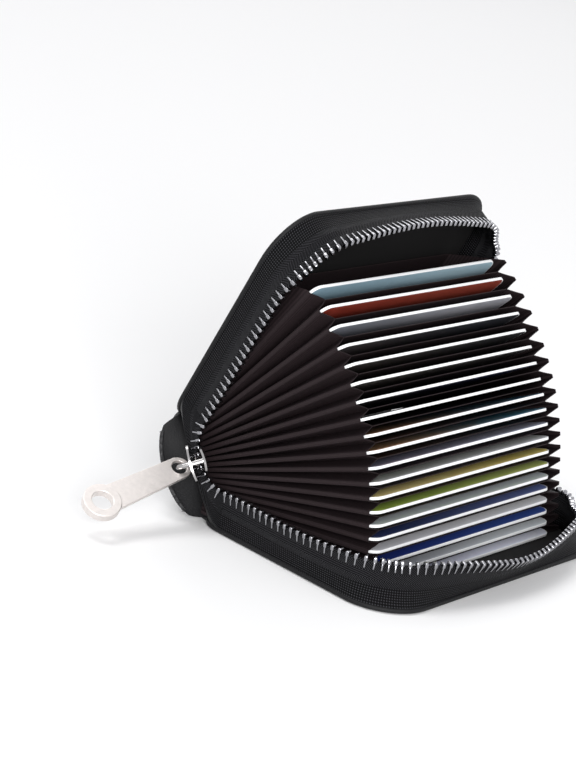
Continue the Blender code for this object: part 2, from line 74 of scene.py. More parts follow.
@dataclass(frozen=True)
class Sizes:
    """Sizes of the wallet in metres and degrees, as its CAD frame has them."""

    card_count: int = 20
    card_length: float = 0.0856
    card_width: float = 0.054
    card_thickness: float = 0.00076
    card_corner: float = 0.00318
    card_slip: float = 0.0001
    card_end_shift: float = 0.0020
    card_inner: float = 0.0073
    outer_card_extra: float = 0.0042
    divider: float = 0.00014
    cover_length: float = 0.104
    cover_depth: float = 0.0725
    cover_corner: float = 0.015
    spine_corner: float = 0.0085
    leather: float = 0.0010
    cover_thickness: float = 0.0023
    leaf_gap: float = 0.00013
    front_play: float = 0.0013
    fold_gap: float = 0.0003
    rest_opening: float = 67.0
    top_card_angle: float = 55.7
    fan_even_share: float = 0.6
    fan_exponent: float = 2.2
    leaf_inner: float = 0.0065
    leaf_outer: float = 0.057
    leaf_half_length: float = 0.0405
    tape_thickness: float = 0.0008
    tape_inset: float = 0.0016
    zip_start: float = 0.0102
    slider_reach: float = 0.0082
    slider_twist: float = 52.0
    pivot_offset: float = 0.00385

    @property
    def pitch(self) -> float:
        """Height of one pocket with its card."""
        return self.card_thickness + self.divider + 2 * self.card_slip

    @property
    def lining_height(self) -> float:
        """Height of a cover's inner face from the middle plane."""
        stack = self.card_count * self.pitch + self.divider
        return (stack + self.leaf_gap + self.front_play) / 2

    @property
    def half_thickness(self) -> float:
        """Height of a cover's outer face from the middle plane."""
        return self.lining_height + self.cover_thickness

    @property
    def setback(self) -> float:
        """Distance of the spine's outer face from the fan axis when closed."""
        return self.half_thickness * math.tan(math.radians(self.rest_opening) / 4)

    @property
    def half_turn(self) -> float:
        """Half of the opening angle at rest, in radians."""
        return math.radians(self.rest_opening) / 2

    @property
    def spine_x(self) -> float:
        """X of the fold between the back cover and the spine."""
        return -self.cover_depth / 2

    @property
    def cover_end(self) -> float:
        """Distance of a cover's opening edge from the fan axis."""
        return self.setback + self.cover_depth

    @property
    def cover_start(self) -> float:
        """Distance of a cover's spine-side edge from the fan axis."""
        return self.setback + self.leather + self.fold_gap

    @property
    def zip_line(self) -> float:
        """Distance of the zip from the middle of the wallet's length."""
        return self.cover_length / 2 - self.tape_inset

    def card_angle(self, number: int) -> float:
        """Turn of a card at rest, in radians, from card 1 at the top to card 20 on the back."""
        share = (self.card_count - number) / (self.card_count - 1)
        bent = self.fan_even_share * share + (1 - self.fan_even_share) * share**self.fan_exponent
        return math.radians(self.top_card_angle) * bent

    def leaf_angle(self, number: int) -> float:
        """Turn of the leaf below a card. Leaf 0 is on the front cover, leaf 20 on the back."""
        if number == 0:
            return 2 * self.half_turn
        if number == self.card_count:
            return 0.0
        return (self.card_angle(number) + self.card_angle(number + 1)) / 2

    def leaf_height(self, number: int) -> float:
        """Height of a leaf from the middle plane when closed."""
        back = -self.lining_height + self.leaf_gap + self.divider / 2
        return back + (self.card_count - number) * self.pitch

    def card_height(self, number: int) -> float:
        """Height of a card from the middle plane when closed."""
        return self.leaf_height(number) + self.pitch / 2

    def card_reach(self, number: float) -> float:
        """Distance of a card's outer edge from the fan axis."""
        share = abs(2 * (number - 1) / (self.card_count - 1) - 1)
        return self.card_inner + self.card_width + self.outer_card_extra * share**3


SIZES = Sizes()
FAN_AXIS = Vector((SIZES.spine_x - SIZES.setback, 0, SIZES.half_thickness))
BACK_FOLD = Vector((SIZES.spine_x, 0, 0))


def turn_about_y(angle: float) -> Matrix:
    """The turn in radians that lifts +X towards +Z, the way the wallet opens."""
    return Matrix.Rotation(-angle, 4, "Y")


def axes_matrix(x: Vector, y: Vector, z: Vector) -> Matrix:
    """The turn whose axes are three unit vectors."""
    return Matrix((x, y, z)).transposed().to_4x4()


def fan_matrix(angle: float) -> Matrix:
    """From the closed frame to a place turned about the fan axis."""
    return Matrix.Translation(FAN_AXIS) @ turn_about_y(angle)


def spine_matrix() -> Matrix:
    """From the closed frame to the spine, which tilts by half of the opening."""
    fold = Vector((SIZES.setback, 0, -SIZES.half_thickness))
    turn = turn_about_y(SIZES.half_turn)
    return Matrix.Translation(BACK_FOLD) @ turn @ Matrix.Translation(-fold)


def slider_matrix() -> Matrix:
    """The slider's frame: x along its channel, y across the rows, z out of its top plate."""
    upright = Matrix.Rotation(math.radians(90), 4, "X")
    twist = Matrix.Rotation(math.radians(-SIZES.slider_twist), 4, "Y")
    seat = Matrix.Translation((SIZES.slider_reach, -SIZES.zip_line, 0))
    return fan_matrix(SIZES.half_turn) @ seat @ upright @ twist


MIDDLE = fan_matrix(SIZES.half_turn)
ACROSS = (MIDDLE.to_3x3() @ Vector((0, 0, 1))).normalized()


class Side(Enum):
    """One of the two covers."""

    BACK = "back"
    FRONT = "front"

    @property
    def body(self) -> str:
        """The CAD body that the cover's pieces ride on."""
        return f"{self.value}_cover"

    @property
    def matrix(self) -> Matrix:
        """From the back cover in the closed frame to this cover at rest."""
        if self is Side.BACK:
            return fan_matrix(0)
        return fan_matrix(2 * SIZES.half_turn) @ Matrix.Rotation(math.pi, 4, "X")

    @property
    def near(self) -> int:
        """The sign of y, in the cover's closed frame, at the end that has the slider."""
        return -1 if self is Side.BACK else 1

    @property
    def drawn(self) -> tuple[float, float]:
        """How far the near end is drawn in, at the spine and at the opening."""
        return (0.0050, 0.0005) if self is Side.BACK else (0.0064, 0.0052)

    def draw_in(self, at: Vector, reach: float = 1.0) -> Vector:
        """Draws a place of the near half in, as the open zip pulls the soft cover there."""
        away = at.y * self.near
        if away < 0:
            return at
        first = SIZES.cover_start + SIZES.spine_corner
        last = SIZES.cover_end - SIZES.cover_corner
        share = min(1.0, max(0.0, (at.x - first) / (last - first)))
        by_spine, by_opening = self.drawn
        drawn = (by_spine + (by_opening - by_spine) * share) * reach
        return Vector((at.x, at.y * (1 - drawn * 2 / SIZES.cover_length), at.z))

    def settle(self, piece: bpy.types.Object, height: float = 0.0) -> None:
        """Draws a piece of this cover in and places it above the cover's outer face."""
        for vertex in piece.data.vertices:
            vertex.co = self.draw_in(vertex.co)
        Bench.place(piece, self.matrix @ Matrix.Translation((0, 0, height - SIZES.half_thickness)))


# Modelling.


class Pick(Enum):
    """What a selection is made of."""

    POINTS = "VERT"
    EDGES = "EDGE"
    FACES = "FACE"


def on_rim(
    start: float, end: float, half: float, top: float, corners: tuple[float, float]
) -> Callable[[Vector], bool]:
    """A test for the middle of an edge on a rounded plate's outline.

    Args:
        start: the plate's lowest x.
        end: its highest x.
        half: half of its length along y.
        top: its thickness.
        corners: the corner radii at low x and at high x.

    Returns:
        The test. It passes at the top and the foot of the outline, and not between them.
    """
    facet_share = 0.985

    def test(at: Vector) -> bool:
        """Whether the point lies on the outline, at the top or the foot."""
        if TINY < at.z < top - TINY:
            return False
        at_end = at.x > (start + end) / 2
        radius = corners[at_end]
        away_x = (at.x - end if at_end else start - at.x) + radius
        away_y = abs(at.y) - half + radius
        if away_x > 0 and away_y > 0:
            return math.hypot(away_x, away_y) > radius * facet_share
        return max(away_x, away_y) > radius - 10 * TINY

    return test


class Bench:
    """Blender's modelling operators, used on one piece at a time."""

    @staticmethod
    def clear() -> None:
        """Deselects every object."""
        bpy.ops.object.select_all(action="DESELECT")

    @staticmethod
    def hold(piece: bpy.types.Object) -> None:
        """Selects one piece and nothing else."""
        Bench.clear()
        piece.select_set(True)
        bpy.context.view_layer.objects.active = piece

    @staticmethod
    def added(name: str) -> bpy.types.Object:
        """Names the primitive that was just added, and its mesh."""
        piece = bpy.context.object
        piece.name = name
        piece.data.name = name
        return piece

    @staticmethod
    @contextmanager
    def editing(piece: bpy.types.Object) -> Iterator[None]:
        """Edit mode on one piece, with everything in it selected at first."""
        Bench.hold(piece)
        bpy.ops.object.mode_set(mode="EDIT")
        bpy.ops.mesh.select_all(action="SELECT")
        yield
        bpy.ops.object.mode_set(mode="OBJECT")

    @staticmethod
    def pick(kind: Pick, test: Callable[[Vector], bool]) -> int:
        """Selects the parts of the edited mesh whose middle passes a test.

        Args:
            kind: points, edges or faces.
            test: says whether a part belongs, from its middle.

        Returns:
            How many were selected.
        """
        bpy.ops.mesh.select_mode(type=kind.value)
        bpy.ops.mesh.select_all(action="DESELECT")
        mesh = bpy.context.object.data
        shape = bmesh.from_edit_mesh(mesh)
        found = 0
        if kind is Pick.POINTS:
            parts = [(vert, vert.co) for vert in shape.verts]
        elif kind is Pick.EDGES:
            parts = [(edge, (edge.verts[0].co + edge.verts[1].co) / 2) for edge in shape.edges]
        else:
            parts = [(face, face.calc_center_median()) for face in shape.faces]
        for part, middle in parts:
            if test(middle):
                part.select_set(True)
                found += 1
        shape.select_flush_mode()
        bmesh.update_edit_mesh(mesh)
        return found

    @staticmethod
    def move(offset: Sequence[float]) -> None:
        """Moves what is selected in edit mode."""
        bpy.ops.transform.translate(value=offset)

    @staticmethod
    def scale(factors: Sequence[float], centre: Sequence[float] = (0, 0, 0)) -> None:
        """Scales what is selected in edit mode about a point."""
        bpy.ops.transform.resize(value=factors, center_override=centre)

    @staticmethod
    def extrude(offset: Sequence[float]) -> None:
        """Extrudes the selected faces by an offset."""
        bpy.ops.mesh.extrude_region_move(TRANSFORM_OT_translate={"value": offset})

    @staticmethod
    def bevel(width: float, steps: int, points: bool = False) -> None:
        """Rounds the selected edges, or the selected points of a flat face."""
        affect = "VERTICES" if points else "EDGES"
        bpy.ops.mesh.bevel(offset=width, segments=steps, profile=0.5, affect=affect)

    @staticmethod
    def grid(name: str, columns: int, rows: int) -> bpy.types.Object:
        """A flat grid from (0, 0) to (1, 1) with its UV map, ready to be draped."""
        Bench.clear()
        bpy.ops.mesh.primitive_grid_add(x_subdivisions=columns, y_subdivisions=rows, size=1)
        piece = Bench.added(name)
        with Bench.editing(piece):
            Bench.move((0.5, 0.5, 0))
        return piece

    @staticmethod
    def box(name: str, low: Sequence[float], high: Sequence[float]) -> bpy.types.Object:
        """A box between two corners, to start a shape from."""
        Bench.clear()
        bpy.ops.mesh.primitive_cube_add(size=1)
        piece = Bench.added(name)
        with Bench.editing(piece):
            Bench.scale([b - a for a, b in zip(low, high)])
            Bench.move([(a + b) / 2 for a, b in zip(low, high)])
        return piece

    @staticmethod
    def plate(
        name: str,
        low: tuple[float, float],
        high: tuple[float, float],
        height: float,
        corners: tuple[float, float],
        steps: int,
    ) -> bpy.types.Object:
        """A flat plate with rounded corners that stands on z = 0.

        Args:
            name: the piece's name.
            low: its corner of least x and y.
            high: its corner of greatest x and y.
            height: its thickness.
            corners: the corner radii at low x and at high x.
            steps: facets of each corner.
        """
        Bench.clear()
        bpy.ops.mesh.primitive_plane_add(size=1)
        piece = Bench.added(name)
        middle = ((low[0] + high[0]) / 2, (low[1] + high[1]) / 2, 0)
        with Bench.editing(piece):
            Bench.scale((high[0] - low[0], high[1] - low[1], 1))
            Bench.move(middle)
            for radius, wanted in zip(corners, (False, True)):
                if radius and Bench.pick(Pick.POINTS, lambda at: (at.x > middle[0]) == wanted):
                    Bench.bevel(radius, steps, points=True)
            bpy.ops.mesh.select_all(action="SELECT")
            Bench.extrude((0, 0, height))
            bpy.ops.mesh.select_all(action="SELECT")
            bpy.ops.mesh.normals_make_consistent(inside=False)
        return piece

    @staticmethod
    def wire(name: str, points: Sequence[Vector], radius: float, facets: int = 6) -> bpy.types.Object:
        """A round wire along points, with closed ends."""
        curve = bpy.data.curves.new(name, "CURVE")
        curve.dimensions = "3D"
        curve.bevel_depth = radius
        curve.bevel_resolution = facets
        curve.use_fill_caps = True
        line = curve.splines.new("POLY")
        line.points.add(len(points) - 1)
        for spot, point in zip(line.points, points):
            spot.co = (*point, 1)
        piece = bpy.data.objects.new(name, curve)
        bpy.context.scene.collection.objects.link(piece)
        Bench.hold(piece)
        bpy.ops.object.convert(target="MESH")
        return Bench.added(name)

    @staticmethod
    def drape(piece: bpy.types.Object, place: Callable[[float, float], Sequence[float]]) -> None:
        """Moves each point of a unit grid to its place on a surface.

        Args:
            piece: a grid from Bench.grid.
            place: gives a point from its two shares, from 0 to 1.
        """
        for vert in piece.data.vertices:
            vert.co = place(vert.co.x, vert.co.y)
        piece.data.update()

    @staticmethod
    def measure(piece: bpy.types.Object, width: float, length: float) -> None:
        """Stretches the piece's UV map from shares to metres."""
        for loop in piece.data.uv_layers.active.data:
            loop.uv = (loop.uv[0] * width, loop.uv[1] * length)

    @staticmethod
    def place(piece: bpy.types.Object, matrix: Matrix) -> bpy.types.Object:
        """Moves the piece's mesh, so that its object stays at the origin."""
        piece.data.transform(matrix)
        if matrix.determinant() < 0:
            piece.data.flip_normals()
        return piece

    @staticmethod
    def copy(piece: bpy.types.Object, name: str, matrix: Matrix) -> bpy.types.Object:
        """A copy with its own mesh, moved from the original's place."""
        twin = bpy.data.objects.new(name, piece.data.copy())
        twin.data.name = name
        bpy.context.scene.collection.objects.link(twin)
        return Bench.place(twin, matrix)

    @staticmethod
    def drop(piece: bpy.types.Object) -> None:
        """Removes a piece that was only a pattern for copies."""
        bpy.data.objects.remove(piece, do_unlink=True)

    @staticmethod
    def join(pieces: Sequence[bpy.types.Object], name: str) -> bpy.types.Object:
        """Joins pieces into one object."""
        Bench.hold(pieces[0])
        for piece in pieces:
            piece.select_set(True)
        bpy.ops.object.join()
        return Bench.added(name)

    @staticmethod
    def repeat(pattern: bpy.types.Object, places: Sequence[Matrix], name: str) -> bpy.types.Object:
        """One object made of a copy of a pattern at each place. The pattern is dropped."""
        copies = [Bench.copy(pattern, f"{name}_{index}", place) for index, place in enumerate(places)]
        Bench.drop(pattern)
        return Bench.join(copies, name)

    @staticmethod
    def modify(piece: bpy.types.Object, kind: str, **settings: object) -> None:
        """Adds a modifier, sets it and applies it."""
        Bench.hold(piece)
        modifier = piece.modifiers.new(kind.lower(), kind)
        for key, value in settings.items():
            setattr(modifier, key, value)
        bpy.ops.object.modifier_apply(modifier=modifier.name)

    @staticmethod
    def thicken(piece: bpy.types.Object, thickness: float, offset: float = 0) -> None:
        """Gives a sheet its wall."""
        Bench.modify(piece, "SOLIDIFY", thickness=thickness, offset=offset)

    @staticmethod
    def smooth(piece: bpy.types.Object, degrees: float = 40) -> None:
        """Shades smooth across edges that turn by less than an angle."""
        Bench.hold(piece)
        bpy.ops.object.shade_smooth_by_angle(angle=math.radians(degrees))

    @staticmethod
    def outward(piece: bpy.types.Object) -> None:
        """Merges doubles and turns every face of a closed shape outwards."""
        with Bench.editing(piece):
            bpy.ops.mesh.remove_doubles(threshold=TINY / 10)
            bpy.ops.mesh.normals_make_consistent(inside=False)

    @staticmethod
    def skin(piece: bpy.types.Object, wall: float) -> None:
        """Turns a draped grid into a closed, smoothly shaded sheet."""
        Bench.thicken(piece, wall)
        Bench.outward(piece)
        Bench.smooth(piece, 60)


# Finishes.


class Signal:
    """A shader value that adds Math nodes when it stands in an expression."""

    def __init__(self, paint: "Paint", socket: bpy.types.NodeSocket) -> None:
        self.paint = paint
        self.socket = socket

    def math(self, operation: str, *others: object) -> "Signal":
        """Adds one Math node with this value first."""
        sockets = {index: value for index, value in enumerate((self, *others))}
        return self.paint.add("ShaderNodeMath", {"operation": operation}, sockets)

    def flipped(self, operation: str, other: object) -> "Signal":
        """Adds one Math node with this value second."""
        return self.paint.add("ShaderNodeMath", {"operation": operation}, {0: other, 1: self})

    def __add__(self, other: object) -> "Signal":
        return self.math("ADD", other)

    def __sub__(self, other: object) -> "Signal":
        return self.math("SUBTRACT", other)

    def __rsub__(self, other: object) -> "Signal":
        return self.flipped("SUBTRACT", other)

    def __mul__(self, other: object) -> "Signal":
        return self.math("MULTIPLY", other)

    def __truediv__(self, other: object) -> "Signal":
        return self.math("DIVIDE", other)

    __radd__ = __add__
    __rmul__ = __mul__

    def ramp(self, start: float, end: float) -> "Signal":
        """0 below start and 1 above end, smooth between them."""
        settings = {"interpolation_type": "SMOOTHSTEP", "clamp": True}
        sockets = {0: self, 1: start, 2: end, 3: 0.0, 4: 1.0}
        return self.paint.add("ShaderNodeMapRange", settings, sockets)

    def wave(self, period: float) -> "Signal":
        """A sine from 0 to 1 that repeats at each period."""
        return (self * (2 * math.pi / period)).math("SINE") * 0.5 + 0.5

    def zigzag(self, height: float) -> "Signal":
        """A straight-sided wave from 0 to a height and back."""
        return self.math("PINGPONG", height)


def shade(colour: Colour, factor: float) -> Colour:
    """A darker or paler version of a colour."""
    return tuple(part * factor for part in colour)


class Paint:
    """One node material on a Principled shader."""

    def __init__(
        self,
        name: str,
        colour: Colour,
        roughness: float,
        metallic: float = 0.0,
        specular: float = 0.5,
        coat: float = 0.0,
    ) -> None:
        self.material = bpy.data.materials.new(name)
        self.material.use_nodes = True
        self.tree = self.material.node_tree
        self.shader = self.tree.nodes["Principled BSDF"]
        settings = {
            "Base Color": (*colour, 1),
            "Roughness": roughness,
            "Metallic": metallic,
            "Specular IOR Level": specular,
            "Coat Weight": coat,
        }
        for socket, value in settings.items():
            self.shader.inputs[socket].default_value = value
        self.material.diffuse_color = (*colour, 1)

    def add(self, kind: str, settings: dict, sockets: dict, output: object = 0) -> Signal:
        """Adds a node.

        Args:
            kind: the node's type.
            settings: what is set on the node itself, before its sockets.
            sockets: values or signals, by socket name or place.
            output: the name or place of the socket that is returned.

        Returns:
            The node's output as a signal.
        """
        node = self.tree.nodes.new(kind)
        for key, value in settings.items():
            setattr(node, key, value)
        for key, value in sockets.items():
            target = node.inputs[key]
            if isinstance(value, Signal):
                self.tree.links.new(value.socket, target)
            elif isinstance(value, tuple) and len(value) == 3 and target.type == "RGBA":
                target.default_value = (*value, 1)
            else:
                target.default_value = value
        return Signal(self, node.outputs[output])

    def place(self, output: str = "Object") -> Signal:
        """Object coordinates or the UV map, in metres."""
        return self.add("ShaderNodeTexCoord", {}, {}, output)

    def axes(self, point: Signal) -> tuple[Signal, Signal, Signal]:
        """The three parts of a vector."""
        x = self.add("ShaderNodeSeparateXYZ", {}, {0: point}, 0)
        node = x.socket.node
        return x, Signal(self, node.outputs[1]), Signal(self, node.outputs[2])

    def noise(self, point: Signal, grain: float, detail: float = 2.0, output: str = "Fac") -> Signal:
        """Noise whose blotches are about one grain wide."""
        sockets = {"Vector": point, "Scale": 1 / grain, "Detail": detail, "Roughness": 0.5}
        return self.add("ShaderNodeTexNoise", {}, sockets, output)

    def cells(self, point: Signal, size: float, feature: str, output: str = "Distance") -> Signal:
        """Voronoi cells of about one size."""
        settings = {"feature": feature}
        return self.add("ShaderNodeTexVoronoi", settings, {"Vector": point, "Scale": 1 / size}, output)

    def vector(self, operation: str, sockets: dict) -> Signal:
        """One Vector Math node."""
        return self.add("ShaderNodeVectorMath", {"operation": operation}, sockets)

    def warp(self, point: Signal, grain: float, reach: float) -> Signal:
        """The point moved about by noise, to bend a pattern."""
        colour = self.noise(point, grain, 2.0, "Color")
        centred = self.vector("SUBTRACT", {0: colour, 1: (0.5, 0.5, 0.5)})
        scaled = self.vector("SCALE", {0: centred, "Scale": 2 * reach})
        return self.vector("ADD", {0: point, 1: scaled})

    def mix(self, share: object, first: object, second: object) -> Signal:
        """A colour between two."""
        settings = {"data_type": "RGBA"}
        return self.add("ShaderNodeMix", settings, {0: share, 6: first, 7: second}, 2)

    def link(self, socket: str, signal: Signal) -> None:
        """Feeds a socket of the shader."""
        self.tree.links.new(signal.socket, self.shader.inputs[socket])

    def bump(self, height: Signal, depth: float, strength: float = 1.0) -> None:
        """Raises the surface by a height from 0 to 1, times a depth in metres."""
        sockets = {"Height": height, "Distance": depth, "Strength": strength}
        self.link("Normal", self.add("ShaderNodeBump", {}, sockets))


@dataclass(frozen=True)
class Pebbled:
    """Pebble-grained leather with a soft shine."""

    name: str = "pebbled_leather"
    pebble: float = 0.0021
    low: Colour = (0.006, 0.006, 0.007)
    high: Colour = (0.020, 0.020, 0.022)
    relief: float = 0.00028
    swirl: float = 0.004
    drift: float = 0.0007
    fine_share: float = 0.42
    pore: float = 0.00022

    def make(self) -> bpy.types.Material:
        """The finish as a material."""
        paint = Paint(self.name, self.high, 0.4, specular=0.42)
        point = paint.warp(paint.place(), self.swirl, self.drift)
        edge = paint.cells(point, self.pebble, "DISTANCE_TO_EDGE").ramp(0.0, 0.30)
        fine = paint.cells(point, self.pebble * self.fine_share, "DISTANCE_TO_EDGE").ramp(0.0, 0.25)
        pores = paint.noise(paint.place(), self.pore, 3.0)
        height = edge * 0.72 + edge * fine * 0.20 + pores * 0.08
        paint.bump(height, self.relief)
        paint.link("Base Color", paint.mix(height.ramp(0.1, 0.8), self.low, self.high))
        paint.link("Roughness", 0.56 - height * 0.2)
        return paint.material


@dataclass(frozen=True)
class FineLeather:
    """Smooth leather with only a fine grain, for the rolled edges and the spine's ends."""

    name: str = "fine_leather"
    colour: Colour = (0.0075, 0.0075, 0.0085)
    swirl: float = 0.002
    drift: float = 0.0002
    grain: float = 0.0006
    blotch: float = 0.006
    relief: float = 0.00005

    def make(self) -> bpy.types.Material:
        """The finish as a material."""
        paint = Paint(self.name, self.colour, 0.5, specular=0.2)
        point = paint.warp(paint.place(), self.swirl, self.drift)
        grain = paint.cells(point, self.grain, "DISTANCE_TO_EDGE").ramp(0.0, 0.3)
        blotch = paint.noise(paint.place(), self.blotch, 2.0)
        paint.bump(grain * 0.8 + blotch * 0.2, self.relief)
        paint.link("Roughness", 0.46 + blotch * 0.16)
        darker = shade(self.colour, 0.6)
        paint.link("Base Color", paint.mix(grain, darker, self.colour))
        return paint.material


@dataclass(frozen=True)
class Tape:
    """Woven zip tape: herringbone beside the teeth and a finer weave by the cover."""

    name: str = "zip_tape_weave"
    low: Colour = (0.0010, 0.0010, 0.0013)
    high: Colour = (0.050, 0.050, 0.056)
    thread: float = 0.00072
    band: float = 0.0021
    plain_to: float = 0.0042
    chevron_from: float = 0.0052
    fuzz: float = 0.00025
    relief: float = 0.00040

    def make(self) -> bpy.types.Material:
        """The finish as a material."""
        paint = Paint(self.name, self.high, 0.55, specular=0.09)
        along, up, _ = paint.axes(paint.place("UV"))
        slant = along + up.zigzag(self.band) * 1.3
        chevron = slant.wave(self.thread)
        weft = up.wave(self.thread * 0.9)
        by_teeth = up.ramp(self.plain_to, self.chevron_from)
        plain = along.wave(self.thread) * 0.5 + weft * 0.5
        threads = chevron * by_teeth + plain * (1 - by_teeth)
        fuzz = paint.noise(paint.place(), self.fuzz, 2.0)
        height = threads * 0.8 + fuzz * 0.2
        paint.bump(height, self.relief)
        paint.link("Base Color", paint.mix(height.ramp(0.50, 1.0), self.low, self.high))
        paint.link("Roughness", 0.7 - threads * 0.15)
        return paint.material


@dataclass(frozen=True)
class Satin:
    """Dark satin of the pockets, with a paler line painted along each crease as a highlight, where the
    fold catches the light.
    """

    name: str = "pocket_satin"
    low: Colour = (0.009, 0.0062, 0.0068)
    high: Colour = (0.023, 0.0155, 0.0172)
    # The colour of the painted highlight along each crease.
    crease_highlight: Colour = (0.026, 0.018, 0.019)
    thread: float = 0.00035
    crease_half: float = 0.00034
    crease_soft: float = 0.00024
    fuzz: float = 0.0005
    wander: float = 0.00008
    relief: float = 0.00004

    def make(self) -> bpy.types.Material:
        """The finish as a material."""
        paint = Paint(self.name, self.high, 0.6, specular=0.12)
        along, across, _ = paint.axes(paint.place("UV"))
        fuzz = paint.noise(paint.place(), self.fuzz, 2.0)
        ribs = (across + fuzz * self.wander).wave(self.thread)
        body = paint.mix(ribs * 0.75 + fuzz * 0.25, self.low, self.high)
        # Painted highlight: a paler line along each crease's ridge, varied by noise, that stands in for
        # light caught by the fold.
        fold = (self.crease_half - across.math("ABSOLUTE")).ramp(0.0, self.crease_soft)
        painted_crease_highlight = fold * (0.40 + fuzz * 0.6)
        paint.link("Base Color", paint.mix(painted_crease_highlight, body, self.crease_highlight))
        paint.bump(ribs * 0.7 + fuzz * 0.3, self.relief)
        paint.link("Roughness", 0.66 - ribs * 0.12)
        return paint.material


@dataclass(frozen=True)
class Plain:
    """A matt cloth or board with a light grain."""

    name: str
    colour: Colour
    roughness: float = 0.85
    grain: float = 0.0004
    relief: float = 0.00003

    def make(self) -> bpy.types.Material:
        """The finish as a material."""
        paint = Paint(self.name, self.colour, self.roughness, specular=0.2)
        noise = paint.noise(paint.place(), self.grain, 3.0)
        darker = shade(self.colour, 0.6)
        paint.link("Base Color", paint.mix(noise, darker, self.colour))
        paint.bump(noise, self.relief)
        return paint.material


@dataclass(frozen=True)
class Metal:
    """Plated metal with faint brushing and fine wear."""

    name: str
    colour: Colour
    roughness: float
    brushed: float = 0.0

    def make(self) -> bpy.types.Material:
        """The finish as a material."""
        paint = Paint(self.name, self.colour, self.roughness, metallic=1.0)
        point = paint.place()
        wear = paint.noise(point, 0.0012, 3.0)
        fine = paint.noise(point, 0.00015, 2.0)
        darker = shade(self.colour, 0.82)
        paint.link("Base Color", paint.mix(wear, darker, self.colour))
        paint.link("Roughness", self.roughness + wear * 0.08 + fine * self.brushed)
        paint.bump(fine, 0.000004 + 0.00001 * self.brushed)
        return paint.material


@dataclass(frozen=True)
class Thread:
    """Twisted glossy sewing thread."""

    name: str = "sewing_thread"
    colour: Colour = (0.030, 0.030, 0.033)
    lay: float = 0.00045
    relief: float = 0.00006

    def make(self) -> bpy.types.Material:
        """The finish as a material."""
        paint = Paint(self.name, self.colour, 0.38, specular=0.6)
        x, y, z = paint.axes(paint.place())
        twist = (x + y + z * 0.7).wave(self.lay)
        paint.bump(twist, self.relief)
        darker = shade(self.colour, 0.45)
        paint.link("Base Color", paint.mix(twist, darker, self.colour))
        return paint.material


@dataclass(frozen=True)
class CardFace:
    """A smooth card with a white edge and two colours that run into each other."""

    name: str
    near: Colour
    far: Colour

    def make(self) -> bpy.types.Material:
        """The finish as a material."""
        paint = Paint(self.name, self.near, 0.32, specular=0.5, coat=0.15)
        _, along, _ = paint.axes(paint.place())
        cloud = paint.noise(paint.place(), 0.018, 2.0)
        share = (along + cloud * 0.02).ramp(-0.03, 0.045)
        band = paint.noise(paint.place(), 0.0045, 3.0)
        body = paint.mix(share, self.near, self.far)
        pale = tuple(min(1.0, part * 1.35 + 0.01) for part in self.near)
        paint.link("Base Color", paint.mix(band.ramp(0.45, 0.75) * 0.35, body, pale))
        paint.bump(paint.noise(paint.place(), 0.0006, 2.0), 0.000008)
        paint.link("Roughness", 0.28 + band * 0.1)
        return paint.material


@dataclass(frozen=True)
class CardEdge:
    """The white core of a card, with a faint grain from the cutter."""

    name: str = "card_edge"
    colour: Colour = (0.86, 0.87, 0.88)

    def make(self) -> bpy.types.Material:
        """The finish as a material."""
        paint = Paint(self.name, self.colour, 0.45)
        grain = paint.noise(paint.place(), 0.0008, 3.0)
        greyer = shade(self.colour, 0.93)
        paint.link("Base Color", paint.mix(grain, greyer, self.colour))
        paint.bump(grain, 0.00001)
        return paint.material


def dress(piece: bpy.types.Object, *materials: bpy.types.Material) -> bpy.types.Object:
    """Puts materials on a piece, in the order of its faces' slots."""
    faces = piece.data.polygons
    slots = [face.material_index for face in faces]
    piece.data.materials.clear()
    for material in materials:
        piece.data.materials.append(material)
    for face, slot in zip(faces, slots):
        face.material_index = min(slot, len(materials) - 1)
    return piece


def seat(piece: bpy.types.Object, body: str, slot: str, *nodes: str) -> bpy.types.Object:
    """Makes a finished piece ride a body and stand for CAD nodes.

    Args:
        piece: the finished piece.
        body: the CAD body that it moves with.
        slot: not used.
        nodes: the CAD nodes that it replaces.
    """
    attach(piece, body)
    if nodes:
        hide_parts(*nodes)
    LOG.info("%s rides %s", piece.name, body)
    return piece


def bend(
    piece: bpy.types.Object, bodies: tuple[str, str], start: Vector, end: Vector, slot: str, *nodes: str
) -> bpy.types.Object:
    """Bakes a finished piece's transform, hides the CAD nodes that it stands for and logs the two
    bodies it lies between.
    """
    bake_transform(piece)
    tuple(start)
    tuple(end)
    if nodes:
        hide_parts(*nodes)
    LOG.info("%s bends between %s and %s", piece.name, *bodies)
    return piece


# Covers and spine.


@dataclass
class Route:
    """The way round a cover's near end, opening and far end at one inset from its edge."""

    inset: float
    start: float
    corner: float
    corner_steps: int = 24

    def points(self) -> list[Vector]:
        """The route's ends and the points of its two arcs."""
        side = SIZES.cover_length / 2 - self.inset
        end = SIZES.cover_end - self.inset
        route = [Vector((self.start, -side))]
        for sign, first in ((-1, 270), (1, 0)):
            middle = Vector((end - self.corner, sign * (side - self.corner)))
            for step in range(self.corner_steps + 1):
                angle = math.radians(first + 90 * step / self.corner_steps)
                route.append(middle + self.corner * Vector((math.cos(angle), math.sin(angle))))
        route.append(Vector((self.start, side)))
        return route

    def length(self) -> float:
        """Length of the route."""
        route = self.points()
        return sum((b - a).length for a, b in zip(route, route[1:]))

    def at(self, distance: float) -> tuple[Vector, Vector]:
        """Place and heading at a distance along the route."""
        route = self.points()
        for a, b in zip(route, route[1:]):
            step = b - a
            if distance <= step.length:
                return a + step.normalized() * distance, step.normalized()
            distance -= step.length
        return route[-1], (route[-1] - route[-2]).normalized()


